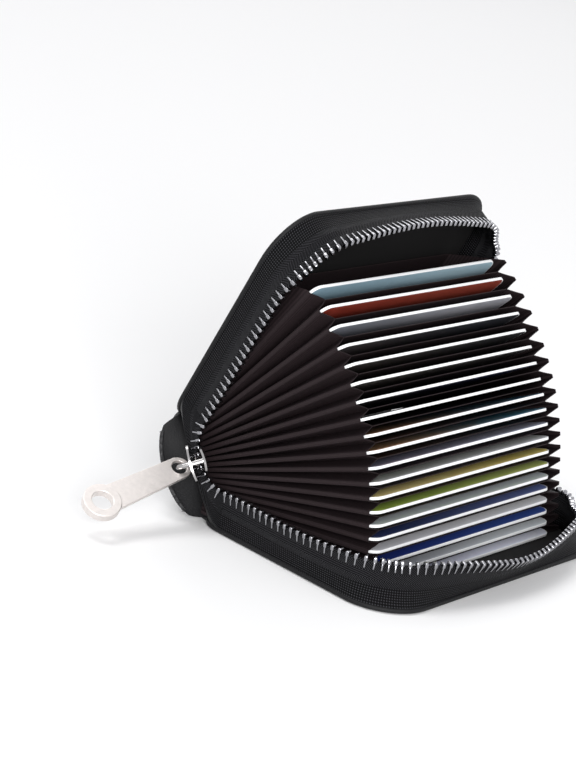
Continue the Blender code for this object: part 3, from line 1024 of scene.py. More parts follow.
@dataclass
class Cover:
    """One cover: its leather shell with a rolled edge, and the stitches through it."""

    side: Side
    corner_steps: int = 14
    spine_corner_steps: int = 8
    edge_steps: int = 4
    lip: float = 0.0013
    rolled_edge: float = 0.00055
    rim: float = 0.0030
    stitch_inset: float = 0.0040
    stitch_pitch: float = 0.0034
    stitch_length: float = 0.0025
    stitch_width: float = 0.00062
    stitch_depth: float = 0.00050
    stitch_height: float = 0.00010
    stitch_slant: float = 7.0
    stitch_start: float = 0.0090
    groove: float = 0.00055
    groove_depth: float = 0.00028
    board_low: float = SIZES.leather + 0.0001
    board_wall: float = 0.0007
    board_inset: float = 0.0034
    lining_wall: float = 0.0003
    lining_low: float = SIZES.cover_thickness - lining_wall
    lining_inset: float = 0.0032

    def shell(self, leather: bpy.types.Material, edge: bpy.types.Material) -> bpy.types.Object:
        """The leather sheet, its outer face down, with a stitching groove round a padded middle."""
        start = SIZES.cover_start
        half = SIZES.cover_length / 2
        top = self.lip
        piece = Bench.plate(
            f"{self.side.value}_cover_leather",
            (start, -half),
            (SIZES.cover_end, half),
            top,
            (0, SIZES.cover_corner),
            self.corner_steps,
        )
        with Bench.editing(piece):
            Bench.pick(Pick.FACES, lambda at: at.z > top - TINY)
            bpy.ops.mesh.inset(thickness=self.rim)
            Bench.extrude((0, 0, SIZES.leather - top))
            Bench.pick(Pick.FACES, lambda at: at.z < TINY)
            bpy.ops.mesh.inset(thickness=self.stitch_inset - self.groove)
            bpy.ops.mesh.inset(thickness=self.groove, depth=-self.groove_depth)
            bpy.ops.mesh.inset(thickness=self.groove, depth=self.groove_depth)
            Bench.pick(Pick.EDGES, lambda at: TINY < at.z < top - TINY and at.x < start + TINY)
            Bench.bevel(SIZES.spine_corner, self.spine_corner_steps)
            corners = (SIZES.spine_corner, SIZES.cover_corner)
            Bench.pick(Pick.EDGES, on_rim(start, SIZES.cover_end, half, top, corners))
            Bench.bevel(self.rolled_edge, self.edge_steps)
        for face in piece.data.polygons:
            face.material_index = 1 if face.center.z > self.rolled_edge / 2 else 0
        self.side.settle(piece)
        Bench.smooth(piece, 50)
        dress(piece, leather, edge)
        return seat(piece, self.side.body, "leather", f"{self.side.value}_leather")

    def inside(
        self, name: str, low: float, wall: float, inset: float, cloth: bpy.types.Material
    ) -> None:
        """A sheet inside the cover.

        Args:
            name: what it is, such as board or lining.
            low: its height from the cover's outer face.
            wall: its thickness.
            inset: its distance from the cover's edge.
            cloth: its material.
        """
        half = SIZES.cover_length / 2 - inset
        piece = Bench.plate(
            f"{self.side.value}_cover_{name}",
            (SIZES.cover_start + inset, -half),
            (SIZES.cover_end - inset, half),
            wall,
            (SIZES.spine_corner - inset, SIZES.cover_corner - inset),
            self.spine_corner_steps,
        )
        self.side.settle(piece, low)
        Bench.smooth(piece, 50)
        dress(piece, cloth)
        seat(piece, self.side.body, name, f"{self.side.value}_{name}")

    def stitches(self, thread: bpy.types.Material) -> bpy.types.Object:
        """The row of stitches in the groove along three edges."""
        Bench.clear()
        bpy.ops.mesh.primitive_uv_sphere_add(segments=8, ring_count=6, radius=0.5)
        master = Bench.added("stitch_pattern")
        with Bench.editing(master):
            Bench.scale((self.stitch_length, self.stitch_width, self.stitch_depth))
        corner = SIZES.cover_corner - self.stitch_inset
        route = Route(self.stitch_inset, SIZES.setback + self.stitch_start, corner)
        count = int(route.length() / self.stitch_pitch)
        places = []
        for index in range(count):
            at, heading = route.at((index + 0.5) * self.stitch_pitch)
            slant = math.atan2(heading.y, heading.x) + math.radians(self.stitch_slant)
            sunk = Matrix.Translation((at.x, at.y, self.stitch_height))
            places.append(sunk @ Matrix.Rotation(slant, 4, "Z"))
        piece = Bench.repeat(master, places, f"{self.side.value}_cover_stitches")
        self.side.settle(piece)
        Bench.smooth(piece, 60)
        dress(piece, thread)
        return seat(piece, self.side.body, "leather")


@dataclass
class Spine:
    """The leather of the spine, its bulging ends and its two folds into the covers."""

    tangent: float = 0.0030
    fold_half_length: float = 0.0440
    bulge: float = 0.0090
    inset: float = 0.0005
    curl: float = 0.0008
    flat_share: float = 0.94
    end_setback: float = 0.0048
    end_narrowing: float = 0.0008

    def half_length(self, height: float) -> float:
        """Half of the spine's length at a height from the middle plane."""
        share = min(1.0, abs(height) / SIZES.half_thickness)
        return self.fold_half_length + self.bulge * math.sqrt(max(0.0, 1 - share**2))

    def build(self, leather: bpy.types.Material) -> None:
        """Makes the strip and both folds."""
        strip = Bench.grid("spine_strip", 28, 60)
        spine = spine_matrix()
        reach = SIZES.half_thickness - self.tangent

        def lay(u: float, v: float) -> Vector:
            """A place on the spine's outer face."""
            height = reach * (2 * u - 1)
            along = (2 * v - 1) * self.half_length(height)
            curl = self.curl * max(0.0, abs(2 * v - 1) - self.flat_share) / (1 - self.flat_share)
            return spine @ Vector((SIZES.setback + self.inset + curl, along, height))

        Bench.drape(strip, lay)
        Bench.skin(strip, SIZES.leather)
        dress(strip, leather)
        seat(strip, "spine", "leather", "spine_leather")
        self.fold(Side.BACK, leather)
        self.fold(Side.FRONT, leather)

    def fold(self, side: Side, leather: bpy.types.Material) -> None:
        """The rounded fold between the spine and one cover."""
        piece = Bench.grid(f"{side.value}_spine_fold", 10, 60)
        spine = spine_matrix()
        if side is Side.FRONT:
            spine = spine @ Matrix.Rotation(math.pi, 4, "X")
        cover = side.matrix
        corner = cover @ Vector((SIZES.setback, 0, -SIZES.half_thickness))
        start = corner + cover.to_3x3() @ Vector((self.tangent, 0, 0))
        end = corner + spine.to_3x3() @ Vector((0, 0, self.tangent))
        inward_cover = cover.to_3x3() @ Vector((0, 0, 1))
        inward_spine = spine.to_3x3() @ Vector((1, 0, 0))
        widest = self.half_length(SIZES.half_thickness - self.tangent)
        at_cover = SIZES.cover_length / 2 - self.end_setback
        by_spine = side.drawn[0] * 2 / SIZES.cover_length

        def lay(u: float, v: float) -> Vector:
            """A place on the fold, on a smooth curve that leaves both faces flush."""
            at = start * (1 - u) ** 2 + corner * (2 * u * (1 - u)) + end * u**2
            inward = (inward_cover * (1 - u) + inward_spine * u).normalized()
            narrow = self.fold_half_length - self.end_narrowing
            wide = at_cover * (1 - by_spine) if v < 0.5 else at_cover
            half = narrow + (wide - narrow) * max(0.0, 1 - 2.2 * u) ** 1.5
            half += (widest - narrow) * max(0.0, 2.2 * u - 1.2) ** 1.5
            return at + inward * self.inset + Vector((0, (2 * v - 1) * half, 0))

        Bench.drape(piece, lay)
        Bench.skin(piece, SIZES.leather)
        dress(piece, leather)
        bodies = ("back_cover", "spine") if side is Side.BACK else ("spine", "front_cover")
        ends = (start, end) if side is Side.BACK else (end, start)
        bend(piece, bodies, *ends, "leather")


# Zip.


@dataclass
class ZipRow:
    """The tape and the teeth on one cover's rim.

    The tape stands straight where it starts. It leans out along the opening and in round the
    corners, because its teeth can't stretch.
    """

    side: Side
    teeth_gap: float = 0.0015
    pitch: float = 0.0023
    foot_inset: float = 0.0009
    foot_height: float = 0.0011
    flare_share: float = 0.30
    tooth_rise: float = 0.0009
    bead_height: float = 0.0012
    bead: Point = (0.00046, -0.00095, 0.00075)
    bead_round: float = 0.00014
    crown_inset: float = 0.00018
    crown: Point = (0.0, -0.0001, 0.00025)
    bar: Point = (0.00024, -0.00092, -0.00045)
    bar_span: tuple[float, float] = (-0.0030, -0.0008)
    bar_round: float = 0.0001
    bar_taper_y: float = -0.0006
    bow_reach: float = 0.038
    cut: float = 0.0034
    cut_reach: float = 0.0145
    rows: int = 14
    columns: int = 220

    @property
    def bow(self) -> float:
        """How far the middle of the teeth's opening side stands out."""
        return 0.0070 if self.side is Side.BACK else 0.0033

    @property
    def end_bow(self) -> float:
        """How far the middle of the teeth's near and far sides stands out."""
        return 0.0018 if self.side is Side.BACK else 0.0002

    @property
    def follow(self) -> float:
        """The share of the cover's drawing-in that the teeth follow."""
        return 0.5 if self.side is Side.BACK else 0.55

    @property
    def start(self) -> float:
        """Distance of the row's first point from the fan axis."""
        return SIZES.setback + SIZES.zip_start

    @property
    def top(self) -> float:
        """Height of the tape's edge from the middle plane, under the teeth."""
        return -self.teeth_gap / 2 - self.bead_height

    @property
    def foot(self) -> float:
        """Height of the tape's foot, on the cover's lip."""
        return -SIZES.half_thickness + self.foot_height

    def inset(self, share: float) -> float:
        """Distance of the upright tape from the cover's edge at a share of its height."""
        flare = max(0.0, 1 - share / self.flare_share) ** 2
        return SIZES.tape_inset - (SIZES.tape_inset - self.foot_inset) * flare

    def route(self, share: float = 1.0) -> Route:
        """The way round the upright tape at a share of its height."""
        inset = self.inset(share)
        return Route(inset, self.start, SIZES.cover_corner - inset)

    def stand_out(self, distance: float, length: float) -> float:
        """How far the teeth stand out of the upright tape at a distance along it."""
        away = abs(distance - length / 2)
        side = SIZES.cover_length / 2 - SIZES.cover_corner
        corner = side + (SIZES.cover_corner - SIZES.tape_inset) * math.pi / 4
        out = self.bow * math.cos(math.pi / 2 * min(1.0, away / self.bow_reach))
        if away > corner:
            out += self.end_bow * math.sin(math.pi * (away - corner) / (length / 2 - corner)) ** 2
        near_corner = min(1.0, abs(away - corner) / self.cut_reach)
        return out - self.cut * math.cos(math.pi / 2 * near_corner) ** 2

    def wall(self, distance: float, share: float) -> Vector:
        """A place on the tape at a distance along its route and a share of its height."""
        length = self.route().length()
        low_route = self.route(share)
        at, heading = low_route.at(distance * low_route.length() / length)
        top, top_heading = self.route().at(distance)
        out = Vector((top_heading.y, -top_heading.x))
        top = top + out * self.stand_out(distance, length)
        foot = self.side.draw_in(at.to_3d())
        top = self.side.draw_in(top.to_3d(), self.follow)
        away = (top - foot) * share**0.85
        rise = self.top - self.foot
        height = math.sqrt(max(0.0, rise**2 - (top - foot).length_squared))
        return Vector((foot.x + away.x, foot.y + away.y, self.foot + height * share))

    def tape(self, weave: bpy.types.Material) -> bpy.types.Object:
        """The tape's wall, flared at its foot where it is sewn to the cover's lip."""
        piece = Bench.grid(f"{self.side.value}_tape", self.columns, self.rows)
        length = self.route().length()
        Bench.drape(piece, lambda u, v: self.wall(u * length, v))
        Bench.measure(piece, length, self.top - self.foot)
        Bench.thicken(piece, SIZES.tape_thickness)
        Bench.outward(piece)
        Bench.place(piece, self.side.matrix)
        Bench.smooth(piece, 60)
        dress(piece, weave)
        return seat(piece, self.side.body, "zip_tape", f"{self.side.value}_zip_tape")

    def tooth(self) -> bpy.types.Object:
        """One tooth: a bead on the tape's edge, and a bar that lies down its outer face.

        The tooth stands at the origin of its row: x along the row, y into the wallet, z towards
        the middle plane.
        """
        half, low, high = self.bead
        piece = Bench.box("tooth_pattern", (-half, low, -self.bead_height), (half, high, 0.0))
        with Bench.editing(piece):
            Bench.pick(Pick.FACES, lambda at: at.z > -TINY)
            bpy.ops.mesh.inset(thickness=self.crown_inset)
            Bench.move(self.crown)
            bpy.ops.mesh.select_all(action="SELECT")
            Bench.bevel(self.bead_round, 2)
        half, low, high = self.bar
        foot, head = self.bar_span
        bar = Bench.box("tooth_bar", (-half, low, foot), (half, high, head))
        with Bench.editing(bar):
            Bench.pick(Pick.FACES, lambda at: at.z < foot + self.bar_round)
            Bench.scale((0.8, 0.8, 1), (0, self.bar_taper_y, foot))
            bpy.ops.mesh.select_all(action="SELECT")
            Bench.bevel(self.bar_round, 2)
        return Bench.join([piece, bar], "tooth_pattern")

    def teeth(self, metal: bpy.types.Material) -> bpy.types.Object:
        """Every tooth of the row on its corded edge."""
        length = self.route().length()
        count = round(length / self.pitch)
        step = length / count
        places = []
        for index in range(count):
            distance = (index + 0.5) * step
            foot = self.wall(distance, 1)
            along = self.wall(distance + step / 4, 1) - self.wall(distance - step / 4, 1)
            up = (foot - self.wall(distance, 0.8)).normalized()
            into = up.cross(along).normalized()
            turn = axes_matrix(into.cross(up), into, up)
            places.append(Matrix.Translation(foot + up * self.tooth_rise) @ turn)
        piece = Bench.repeat(self.tooth(), places, f"{self.side.value}_teeth")
        Bench.place(piece, self.side.matrix)
        Bench.smooth(piece, 50)
        dress(piece, metal)
        return seat(piece, self.side.body, "zip_teeth", f"{self.side.value}_zip_teeth")


@dataclass
class NearEnd:
    """One half of the near end: the zip's curve into the slider and the leather beside it.

    Its places are given from the middle plane at rest: out from the fan axis, along the spine
    and away from the plane.
    """

    side: Side
    blend_reach: float = 0.0096
    tape_mouth: Point = (0.0059, -0.0508, 0.0022)
    teeth_mouth: Point = (0.0083, -0.0514, 0.0012)
    seam_mouth: Point = (0.0054, -0.0504, 0.0002)
    notch_out: float = 0.0070
    notch_along: float = 0.0472
    notch_height: float = -0.0130
    foot_bend: float = 0.0020
    early: float = 0.35
    bulge: float = 0.0011
    seam_bow: float = 0.0006
    run: float = 0.017
    tape_share: float = 0.9
    leather_share: float = 0.6
    pitch_share: float = 0.9
    row: ZipRow = field(init=False)

    def __post_init__(self) -> None:
        """Takes the row that the half continues."""
        self.row = ZipRow(self.side)

    def flat(self, out: float, along: float, height: float) -> Vector:
        """From the cover's closed place to the middle plane's places."""
        cosine, sine = math.cos(SIZES.half_turn), math.sin(SIZES.half_turn)
        return Vector((out * cosine + height * sine, along, out * sine - height * cosine))

    def notch(self) -> Vector:
        """Where the cover, the spine's fold and the end leather meet."""
        by_spine = self.side.drawn[0] * 2 / SIZES.cover_length
        return self.flat(self.notch_out, -self.notch_along * (1 - by_spine), self.notch_height)

    def put(self, at: Vector) -> Vector:
        """From the middle plane's places to the row frame."""
        sign = 1 if self.side is Side.FRONT else -1
        return MIDDLE @ Vector((at.x, at.y, sign * at.z))

    def line(self, share: float) -> tuple[Vector, Vector, Vector]:
        """The three points of the tape's curve at a share of its height."""
        row = self.row
        first = row.wall(0 if self.side is Side.BACK else row.route().length(), share)
        first = self.flat(first.x, -abs(first.y), first.z)
        last = Vector(self.tape_mouth).lerp(Vector(self.teeth_mouth), share)
        turn = SIZES.half_turn
        run = max(self.foot_bend, (first.x - last.x) / math.cos(turn))
        bend_at = first - Vector((math.cos(turn), 0, math.sin(turn))) * run
        bend_at.y = first.y + (last.y - first.y) * self.early
        return first, bend_at, last

    def on_tape(self, u: float, v: float) -> Vector:
        """A place on the tape: u from the row's start to the slider, v from foot to teeth."""
        first, middle, last = self.line(v)
        return first * (1 - u) ** 2 + middle * (2 * u * (1 - u)) + last * u**2

    def on_leather(self, u: float, v: float) -> Vector:
        """A place on the leather: u from the tape's foot to the spine, v towards the slider."""
        seam = self.notch().lerp(Vector(self.seam_mouth), v)
        seam.x += self.seam_bow * math.sin(math.pi * v)
        at = self.on_tape(v, 0).lerp(seam, u)
        at.y -= self.bulge * math.sin(math.pi * u) * (1 - v) ** 0.5
        return at

    def fold(self, piece: bpy.types.Object, slot: str, *nodes: str) -> None:
        """Passes a piece of this half to bend, with two points from its cover towards the middle plane.
        """
        reach = ACROSS * self.blend_reach
        middle = MIDDLE.translation
        if self.side is Side.BACK:
            bend(piece, ("back_cover", "zip_start"), middle - reach, middle, slot, *nodes)
        else:
            bend(piece, ("back_cover", "front_leaf"), middle - reach, middle + reach, slot, *nodes)

    def sheet(
        self, name: str, place: Callable[[float, float], Vector], wall: float
    ) -> bpy.types.Object:
        """A draped sheet with a wall."""
        piece = Bench.grid(f"{self.side.value}_{name}", 20, 12)
        Bench.drape(piece, lambda u, v: self.put(place(u, v)))
        Bench.measure(piece, self.run, self.row.top - self.row.foot)
        Bench.skin(piece, wall)
        return piece

    def build(
        self, weave: bpy.types.Material, leather: bpy.types.Material, metal: bpy.types.Material
    ) -> None:
        """Makes the tape's end, its teeth and the leather beside it."""
        tape = self.sheet("tape_end", self.on_tape, SIZES.tape_thickness * self.tape_share)
        dress(tape, weave)
        self.fold(tape, "zip_tape")
        panel = self.sheet("end_leather", self.on_leather, SIZES.leather * self.leather_share)
        dress(panel, leather)
        nodes = ("zip_end_panel",) if self.side is Side.BACK else ()
        self.fold(panel, "zip_tape", *nodes)
        teeth = self.teeth()
        dress(teeth, metal)
        self.fold(teeth, "zip_teeth")

    def teeth(self) -> bpy.types.Object:
        """The last teeth, on the curve into the slider."""
        samples = 60
        curve = [self.on_tape(step / samples, 1) for step in range(samples + 1)]
        places = []
        gone, due = 0.0, self.row.pitch / 2
        for a, b in zip(curve, curve[1:]):
            gone += (b - a).length
            if gone < due:
                continue
            due += self.row.pitch * self.pitch_share
            heading = (b - a).normalized()
            rise = Vector((-heading.z, 0, heading.x)).normalized()
            foot = self.put(b)
            up = (self.put(b + rise) - foot).normalized()
            into = Vector((0, 1, 0))
            turn = axes_matrix(into.cross(up), into, up)
            places.append(Matrix.Translation(foot + up * self.row.tooth_rise) @ turn)
        piece = Bench.repeat(self.row.tooth(), places, f"{self.side.value}_end_teeth")
        Bench.smooth(piece, 50)
        return piece


@dataclass
class SpineEnd:
    """The leather web from the spine's bulging near end to the slider."""

    reach: float = 0.0125
    wall: float = 0.0005
    overlap: float = 0.0002
    lap: float = 0.0004
    sink: float = 0.0009
    keep: float = 0.05

    def build(self, leather: bpy.types.Material) -> None:
        """Makes the web, which rides the spine."""
        spine = Spine()
        back, front = NearEnd(Side.BACK), NearEnd(Side.FRONT)
        seam = Vector(front.seam_mouth)
        inner = -SIZES.setback + SIZES.leather - self.overlap
        piece = Bench.grid("spine_end_web", 40, 12)

        def lay(u: float, v: float) -> Vector:
            """A place on the web: u across the spine, v from the spine to the slider."""
            side = 2 * u - 1
            height = self.reach * side
            edge = Vector((inner, -spine.half_length(height) + self.lap, height))
            line = seam.lerp((front if side > 0 else back).notch(), abs(side))
            line.z = math.copysign(line.z, side)
            at = edge.lerp(line, v)
            at.y -= self.sink * math.sin(math.pi * v)
            return MIDDLE @ at

        Bench.drape(piece, lay)
        Bench.skin(piece, self.wall)
        dress(piece, leather)
        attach(piece, "spine")
        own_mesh(piece)


@dataclass
class Slider:
    """The zip's slider with its post and bail, and the pull tab that hangs on the bail."""

    plate: float = 0.00055
    half_gap: float = 0.0021
    outer: tuple[float, float] = (0.0098, 0.0118)
    inner: tuple[float, float] = (0.0078, 0.0072)
    dome: float = 0.0006
    dome_along: float = 0.3
    rounding: tuple[float, float] = (0.42, 0.36)
    taper: float = 0.10
    wire: float = 0.00072
    bail_span: float = 0.0058
    bail_height: float = 0.0030
    bail_slack: float = 0.0005
    slack: float = 0.0010
    bail_corner: float = 0.0013
    bail_sink: float = 0.0006
    post: tuple[float, float] = (0.0012, 0.0007)
    eye: float = 0.0021
    neck: float = 0.0033
    shoulder: float = 0.0041
    ring: float = 0.0052
    ring_hole: float = 0.0029
    tab_thickness: float = 0.0012
    tab_round: float = 0.00022
    ring_thickness: float = 0.0024
    tab_length: float = 0.026
    tab_swing: float = 53.4
    roll: float = 10.0
    tilt: float = 22.0

    def frame(self) -> Matrix:
        """The slider's place, a little out of the row's end as the open zip lets it hang."""
        return Matrix.Translation((0, -self.slack, 0)) @ slider_matrix()

    def shield(
        self, name: str, size: tuple[float, float], height: float, sign: int
    ) -> bpy.types.Object:
        """One plate: rounded, thin, and bent over towards the teeth at its sides."""
        piece = Bench.grid(name, 20, 20)

        def lay(u: float, v: float) -> Vector:
            """A place on the plate, from a square grid drawn into a rounded shield."""
            a, b = 2 * u - 1, 2 * v - 1
            x = a * math.sqrt(1 - self.rounding[0] * b * b)
            y = b * math.sqrt(1 - self.rounding[1] * a * a) * (1 - self.taper * (1 - a))
            fall = self.dome * (y * y + self.dome_along * x * x)
            return Vector((x * size[0] / 2, y * size[1] / 2, sign * (height - fall)))

        Bench.drape(piece, lay)
        Bench.thicken(piece, self.plate)
        Bench.outward(piece)
        return piece

    def body(self, metal: bpy.types.Material) -> None:
        """Both plates and the post between them."""
        outer = self.shield("slider_outer_plate", self.outer, self.half_gap, 1)
        inner = self.shield("slider_inner_plate", self.inner, self.half_gap, -1)
        corner = Vector((*self.post, self.half_gap))
        post = Bench.box("slider_post", -corner, corner)
        with Bench.editing(post):
            Bench.pick(Pick.EDGES, lambda at: abs(at.z) < TINY)
            Bench.bevel(0.0004, 3)
        piece = Bench.join([outer, inner, post], "zip_slider")
        Bench.place(piece, self.frame())
        Bench.smooth(piece, 45)
        dress(piece, metal)
        seat(piece, "slider", "gunmetal", "slider_body")

    def bail(self, metal: bpy.types.Material) -> None:
        """The wire loop on the outer plate."""
        foot = self.half_gap + self.plate / 2
        radius = self.bail_corner
        points = [Vector((-self.bail_span / 2, 0, foot - self.bail_sink))]
        for sign, first in ((-1, 180), (1, 90)):
            middle = Vector((sign * (self.bail_span / 2 - radius), 0, foot + self.bail_height - radius))
            for step in range(9):
                angle = math.radians(first - 90 * step / 8)
                points.append(middle + radius * Vector((math.cos(angle), 0, math.sin(angle))))
        points.append(Vector((self.bail_span / 2, 0, foot - self.bail_sink)))
        piece = Bench.wire("slider_bail_loop", points, self.wire, 5)
        Bench.place(piece, self.frame())
        Bench.smooth(piece, 60)
        dress(piece, metal)
        seat(piece, "slider", "gunmetal", "slider_bail")

    def outline(self, steps: int = 20) -> list[Vector]:
        """The tab's outline: x across, y down from the eye's centre."""
        points = []
        for radius, end, first in ((self.neck, 0.0, 0), (self.shoulder, self.tab_length, 180)):
            for step in range(steps + 1):
                angle = math.radians(first + 180 * step / steps)
                points.append(Vector((radius * math.cos(angle), end - radius * math.sin(angle), 0)))
        return points

    def cylinder(self, name: str, radius: float, height: float, place: Point) -> bpy.types.Object:
        """A round disc."""
        Bench.clear()
        bpy.ops.mesh.primitive_cylinder_add(vertices=48, radius=radius, depth=height, location=place)
        bpy.ops.object.transform_apply(location=True, rotation=True, scale=True)
        return Bench.added(name)

    def cut(self, piece: bpy.types.Object, cutter: bpy.types.Object, operation: str) -> None:
        """Joins a solid to a piece or takes it away, and removes it."""
        Bench.modify(piece, "BOOLEAN", object=cutter, operation=operation, solver="EXACT")
        Bench.drop(cutter)

    def tab(self, metal: bpy.types.Material) -> None:
        """The flat tapering tab with an eye at its top and a thick ring at its foot."""
        mesh = bpy.data.meshes.new("zip_pull_tab")
        outline = self.outline()
        mesh.from_pydata([tuple(point) for point in outline], [], [list(range(len(outline)))])
        piece = bpy.data.objects.new("zip_pull_tab", mesh)
        bpy.context.scene.collection.objects.link(piece)
        half = self.tab_thickness / 2
        with Bench.editing(piece):
            Bench.move((0, 0, -half))
            Bench.extrude((0, 0, self.tab_thickness))
            bpy.ops.mesh.select_all(action="SELECT")
            bpy.ops.mesh.normals_make_consistent(inside=False)
        drill = 5 * self.tab_thickness
        eye = self.cylinder("tab_eye", self.eye, drill, (0, 0, 0))
        self.cut(piece, eye, "DIFFERENCE")
        end = self.tab_length
        ring = self.cylinder("tab_ring", self.ring, self.ring_thickness, (0, end, 0))
        self.cut(piece, ring, "UNION")
        hole = self.cylinder("tab_hole", self.ring_hole, drill, (0, end, 0))
        self.cut(piece, hole, "DIFFERENCE")
        sharp = {"limit_method": "ANGLE", "angle_limit": math.radians(50)}
        Bench.modify(piece, "BEVEL", width=self.tab_round, segments=3, **sharp)
        Bench.place(piece, self.tab_matrix())
        Bench.smooth(piece, 35)
        Bench.modify(piece, "WEIGHTED_NORMAL", keep_sharp=True, weight=100)
        dress(piece, metal)
        seat(piece, "pull_tab", "nickel", "pull_tab")

    def tab_matrix(self) -> Matrix:
        """Where the tab hangs: swung on the bail, and rolled a little in its slack."""
        slider = self.frame()
        pivot = slider @ Vector((0, 0, SIZES.pivot_offset + self.bail_slack))
        swing = math.radians(self.tab_swing)
        axes = slider.to_3x3()
        down = (axes @ Vector((math.cos(swing), 0, math.sin(swing)))).normalized()
        across = (axes @ Vector((0, 1, 0))).normalized()
        face = across.cross(down).normalized()
        view = Vector(Studio().back).normalized()
        hang = axes_matrix(across, down, face)
        loose = Matrix.Rotation(math.radians(self.roll), 4, view)
        turned = loose @ hang
        twist = Matrix.Rotation(math.radians(self.tilt), 4, "Y")
        hung = Matrix.Translation((0, self.eye - self.wire, 0))
        return Matrix.Translation(pivot) @ turned @ twist @ hung

    def build(self, gunmetal: bpy.types.Material, nickel: bpy.types.Material) -> None:
        """Makes the slider, the bail and the tab."""
        self.body(gunmetal)
        self.bail(gunmetal)
        self.tab(nickel)


# Accordion and cards.


def smoothstep_inverse(weight: float) -> float:
    """The share whose smoothstep is a weight from 0 to 1."""
    return 0.5 - math.sin(math.asin(1 - 2 * weight) / 3)


@dataclass
class Accordion:
    """The pleated gussets at both ends and the leaves between the cards."""

    inner: float = 0.0056
    hem: float = 0.0017
    wall: float = 0.00020
    ridge_half: float = 0.00048
    ridge_clearance: float = 0.0006
    far_slack: float = 0.0022
    valley_clearance: float = 0.0003
    pleat_depth: float = 0.0055
    pleat_sag: float = 0.00025
    crease_shift: float = 0.0004
    leaf_wall: float = 0.00018
    leaf_wave: float = 0.00004
    first_seed: int = 700
    columns: int = 16
    rows: int = 6

    def outer(self, number: float) -> float:
        """Distance of a leaf's hem from the fan axis, a little short of its cards."""
        if number == 0:
            return SIZES.leaf_outer
        card = min(SIZES.card_count, max(1, number + 0.5))
        return SIZES.card_reach(card) - self.hem

    def ridge_reach(self, side: int) -> float:
        """How far from the middle the ridges stand; the far ones stand clear of the cards."""
        slack = self.far_slack if side > 0 else 0
        return SIZES.card_length / 2 + SIZES.card_end_shift + self.ridge_clearance + slack

    def fold(self, number: int, ridge: bool, reach: float, side: int) -> tuple[Vector, float]:
        """A point on one fold line of a gusset.

        Args:
            number: of the card at the ridge, or of the leaf at the valley.
            ridge: whether the fold goes round a card's end.
            reach: distance from the fan axis when closed.
            side: -1 at the near end and 1 at the far end.

        Returns:
            The point at rest, and the share of the full opening that it turns by.
        """
        if ridge:
            away = self.ridge_reach(side)
            angle, height = SIZES.card_angle(number), SIZES.card_height(number)
        else:
            away = SIZES.leaf_half_length + self.valley_clearance
            angle, height = SIZES.leaf_angle(number), SIZES.leaf_height(number)
        point = fan_matrix(angle) @ Vector((reach, side * away, height))
        return point, angle / (2 * SIZES.half_turn)

    def pleat(self, card: int, leaf: int, side: int, satin: bpy.types.Material) -> None:
        """Half a pleat: the panel from a card's end to the leaf above or below it."""
        end = "near" if side < 0 else "far"
        half = "upper" if leaf < card else "lower"
        piece = Bench.grid(f"{end}_pleat_{card:02d}_{half}", self.columns, self.rows)
        ends = (self.outer(card - 0.5), self.outer(leaf))
        up = 1 if leaf < card else -1
        normal = turn_about_y(SIZES.card_angle(card)).to_3x3() @ Vector((0, 0, up))
        _, ridge_share = self.fold(card, True, ends[0], side)
        _, valley_share = self.fold(leaf, False, ends[1], side)

        def lay(u: float, v: float) -> Vector:
            """A place on the panel: u out from the axis, v from the ridge to the valley."""
            ridge, _ = self.fold(card, True, self.inner + (ends[0] - self.inner) * u, side)
            valley, _ = self.fold(leaf, False, self.inner + (ends[1] - self.inner) * u, side)
            shoulder = ridge + normal * self.ridge_half
            if v < 1.5 / self.rows:
                return ridge.lerp(shoulder, min(1.0, v * self.rows))
            sag = self.pleat_sag * math.sin(math.pi * v) * u
            return shoulder.lerp(valley, v) - Vector((0, side * sag, 0))

        Bench.drape(piece, lay)
        Bench.measure(piece, ends[0] - self.inner, self.pleat_depth)
        # The lower half's UV map is shifted off the crease, so that the satin's painted crease
        # highlight shows only on the upper half.
        if half == "lower":
            for loop in piece.data.uv_layers.active.data:
                loop.uv = (loop.uv[0], loop.uv[1] + self.crease_shift)
        Bench.thicken(piece, self.wall)
        Bench.smooth(piece)
        dress(piece, satin)
        replaced = (f"{end}_gusset",) if card == 1 else ()
        if ridge_share == valley_share:
            seat(piece, "back_cover", "pocket_fabric")
            return
        t_ridge = smoothstep_inverse(ridge_share)
        t_valley = smoothstep_inverse(valley_share)
        y_ridge = side * self.ridge_reach(side)
        y_valley = side * (SIZES.leaf_half_length + self.valley_clearance)
        span = (y_ridge - y_valley) / (t_ridge - t_valley)
        start = y_ridge - t_ridge * span
        bend(
            piece,
            ("back_cover", "front_leaf"),
            Vector((0, start, 0)),
            Vector((0, start + span, 0)),
            "pocket_fabric",
            *replaced,
        )

    def leaf(self, number: int, satin: bpy.types.Material) -> None:
        """A pocket leaf with a hemmed front edge."""
        rng = random.Random(self.first_seed + number)
        phase = rng.uniform(0, 2 * math.pi)
        piece = Bench.grid(f"pocket_leaf_{number:02d}", 14, 24)
        matrix = fan_matrix(SIZES.leaf_angle(number))
        height = SIZES.leaf_height(number)

        def lay(u: float, v: float) -> Vector:
            """A place on the leaf: u out from the axis, v along the spine."""
            reach = SIZES.leaf_inner + (self.outer(number) - SIZES.leaf_inner) * u
            y = (2 * v - 1) * SIZES.leaf_half_length
            wave = self.leaf_wave * math.sin(3 * math.pi * v + phase) * u
            return matrix @ Vector((reach, y, height + wave))

        Bench.drape(piece, lay)
        for loop in piece.data.uv_layers.active.data:
            loop.uv = (loop.uv[1] * 2 * SIZES.leaf_half_length, (1 - loop.uv[0]) * 0.05)
        Bench.thicken(piece, self.leaf_wall)
        Bench.smooth(piece)
        dress(piece, satin)
        if number == 0:
            seat(piece, "front_leaf", "pocket_fabric", "front_end_leaf")
        elif number == SIZES.card_count:
            seat(piece, "back_cover", "pocket_fabric", "back_end_leaf")
        else:
            seat(piece, f"leaf_{number:02d}", "pocket_fabric", f"divider_{number:02d}")

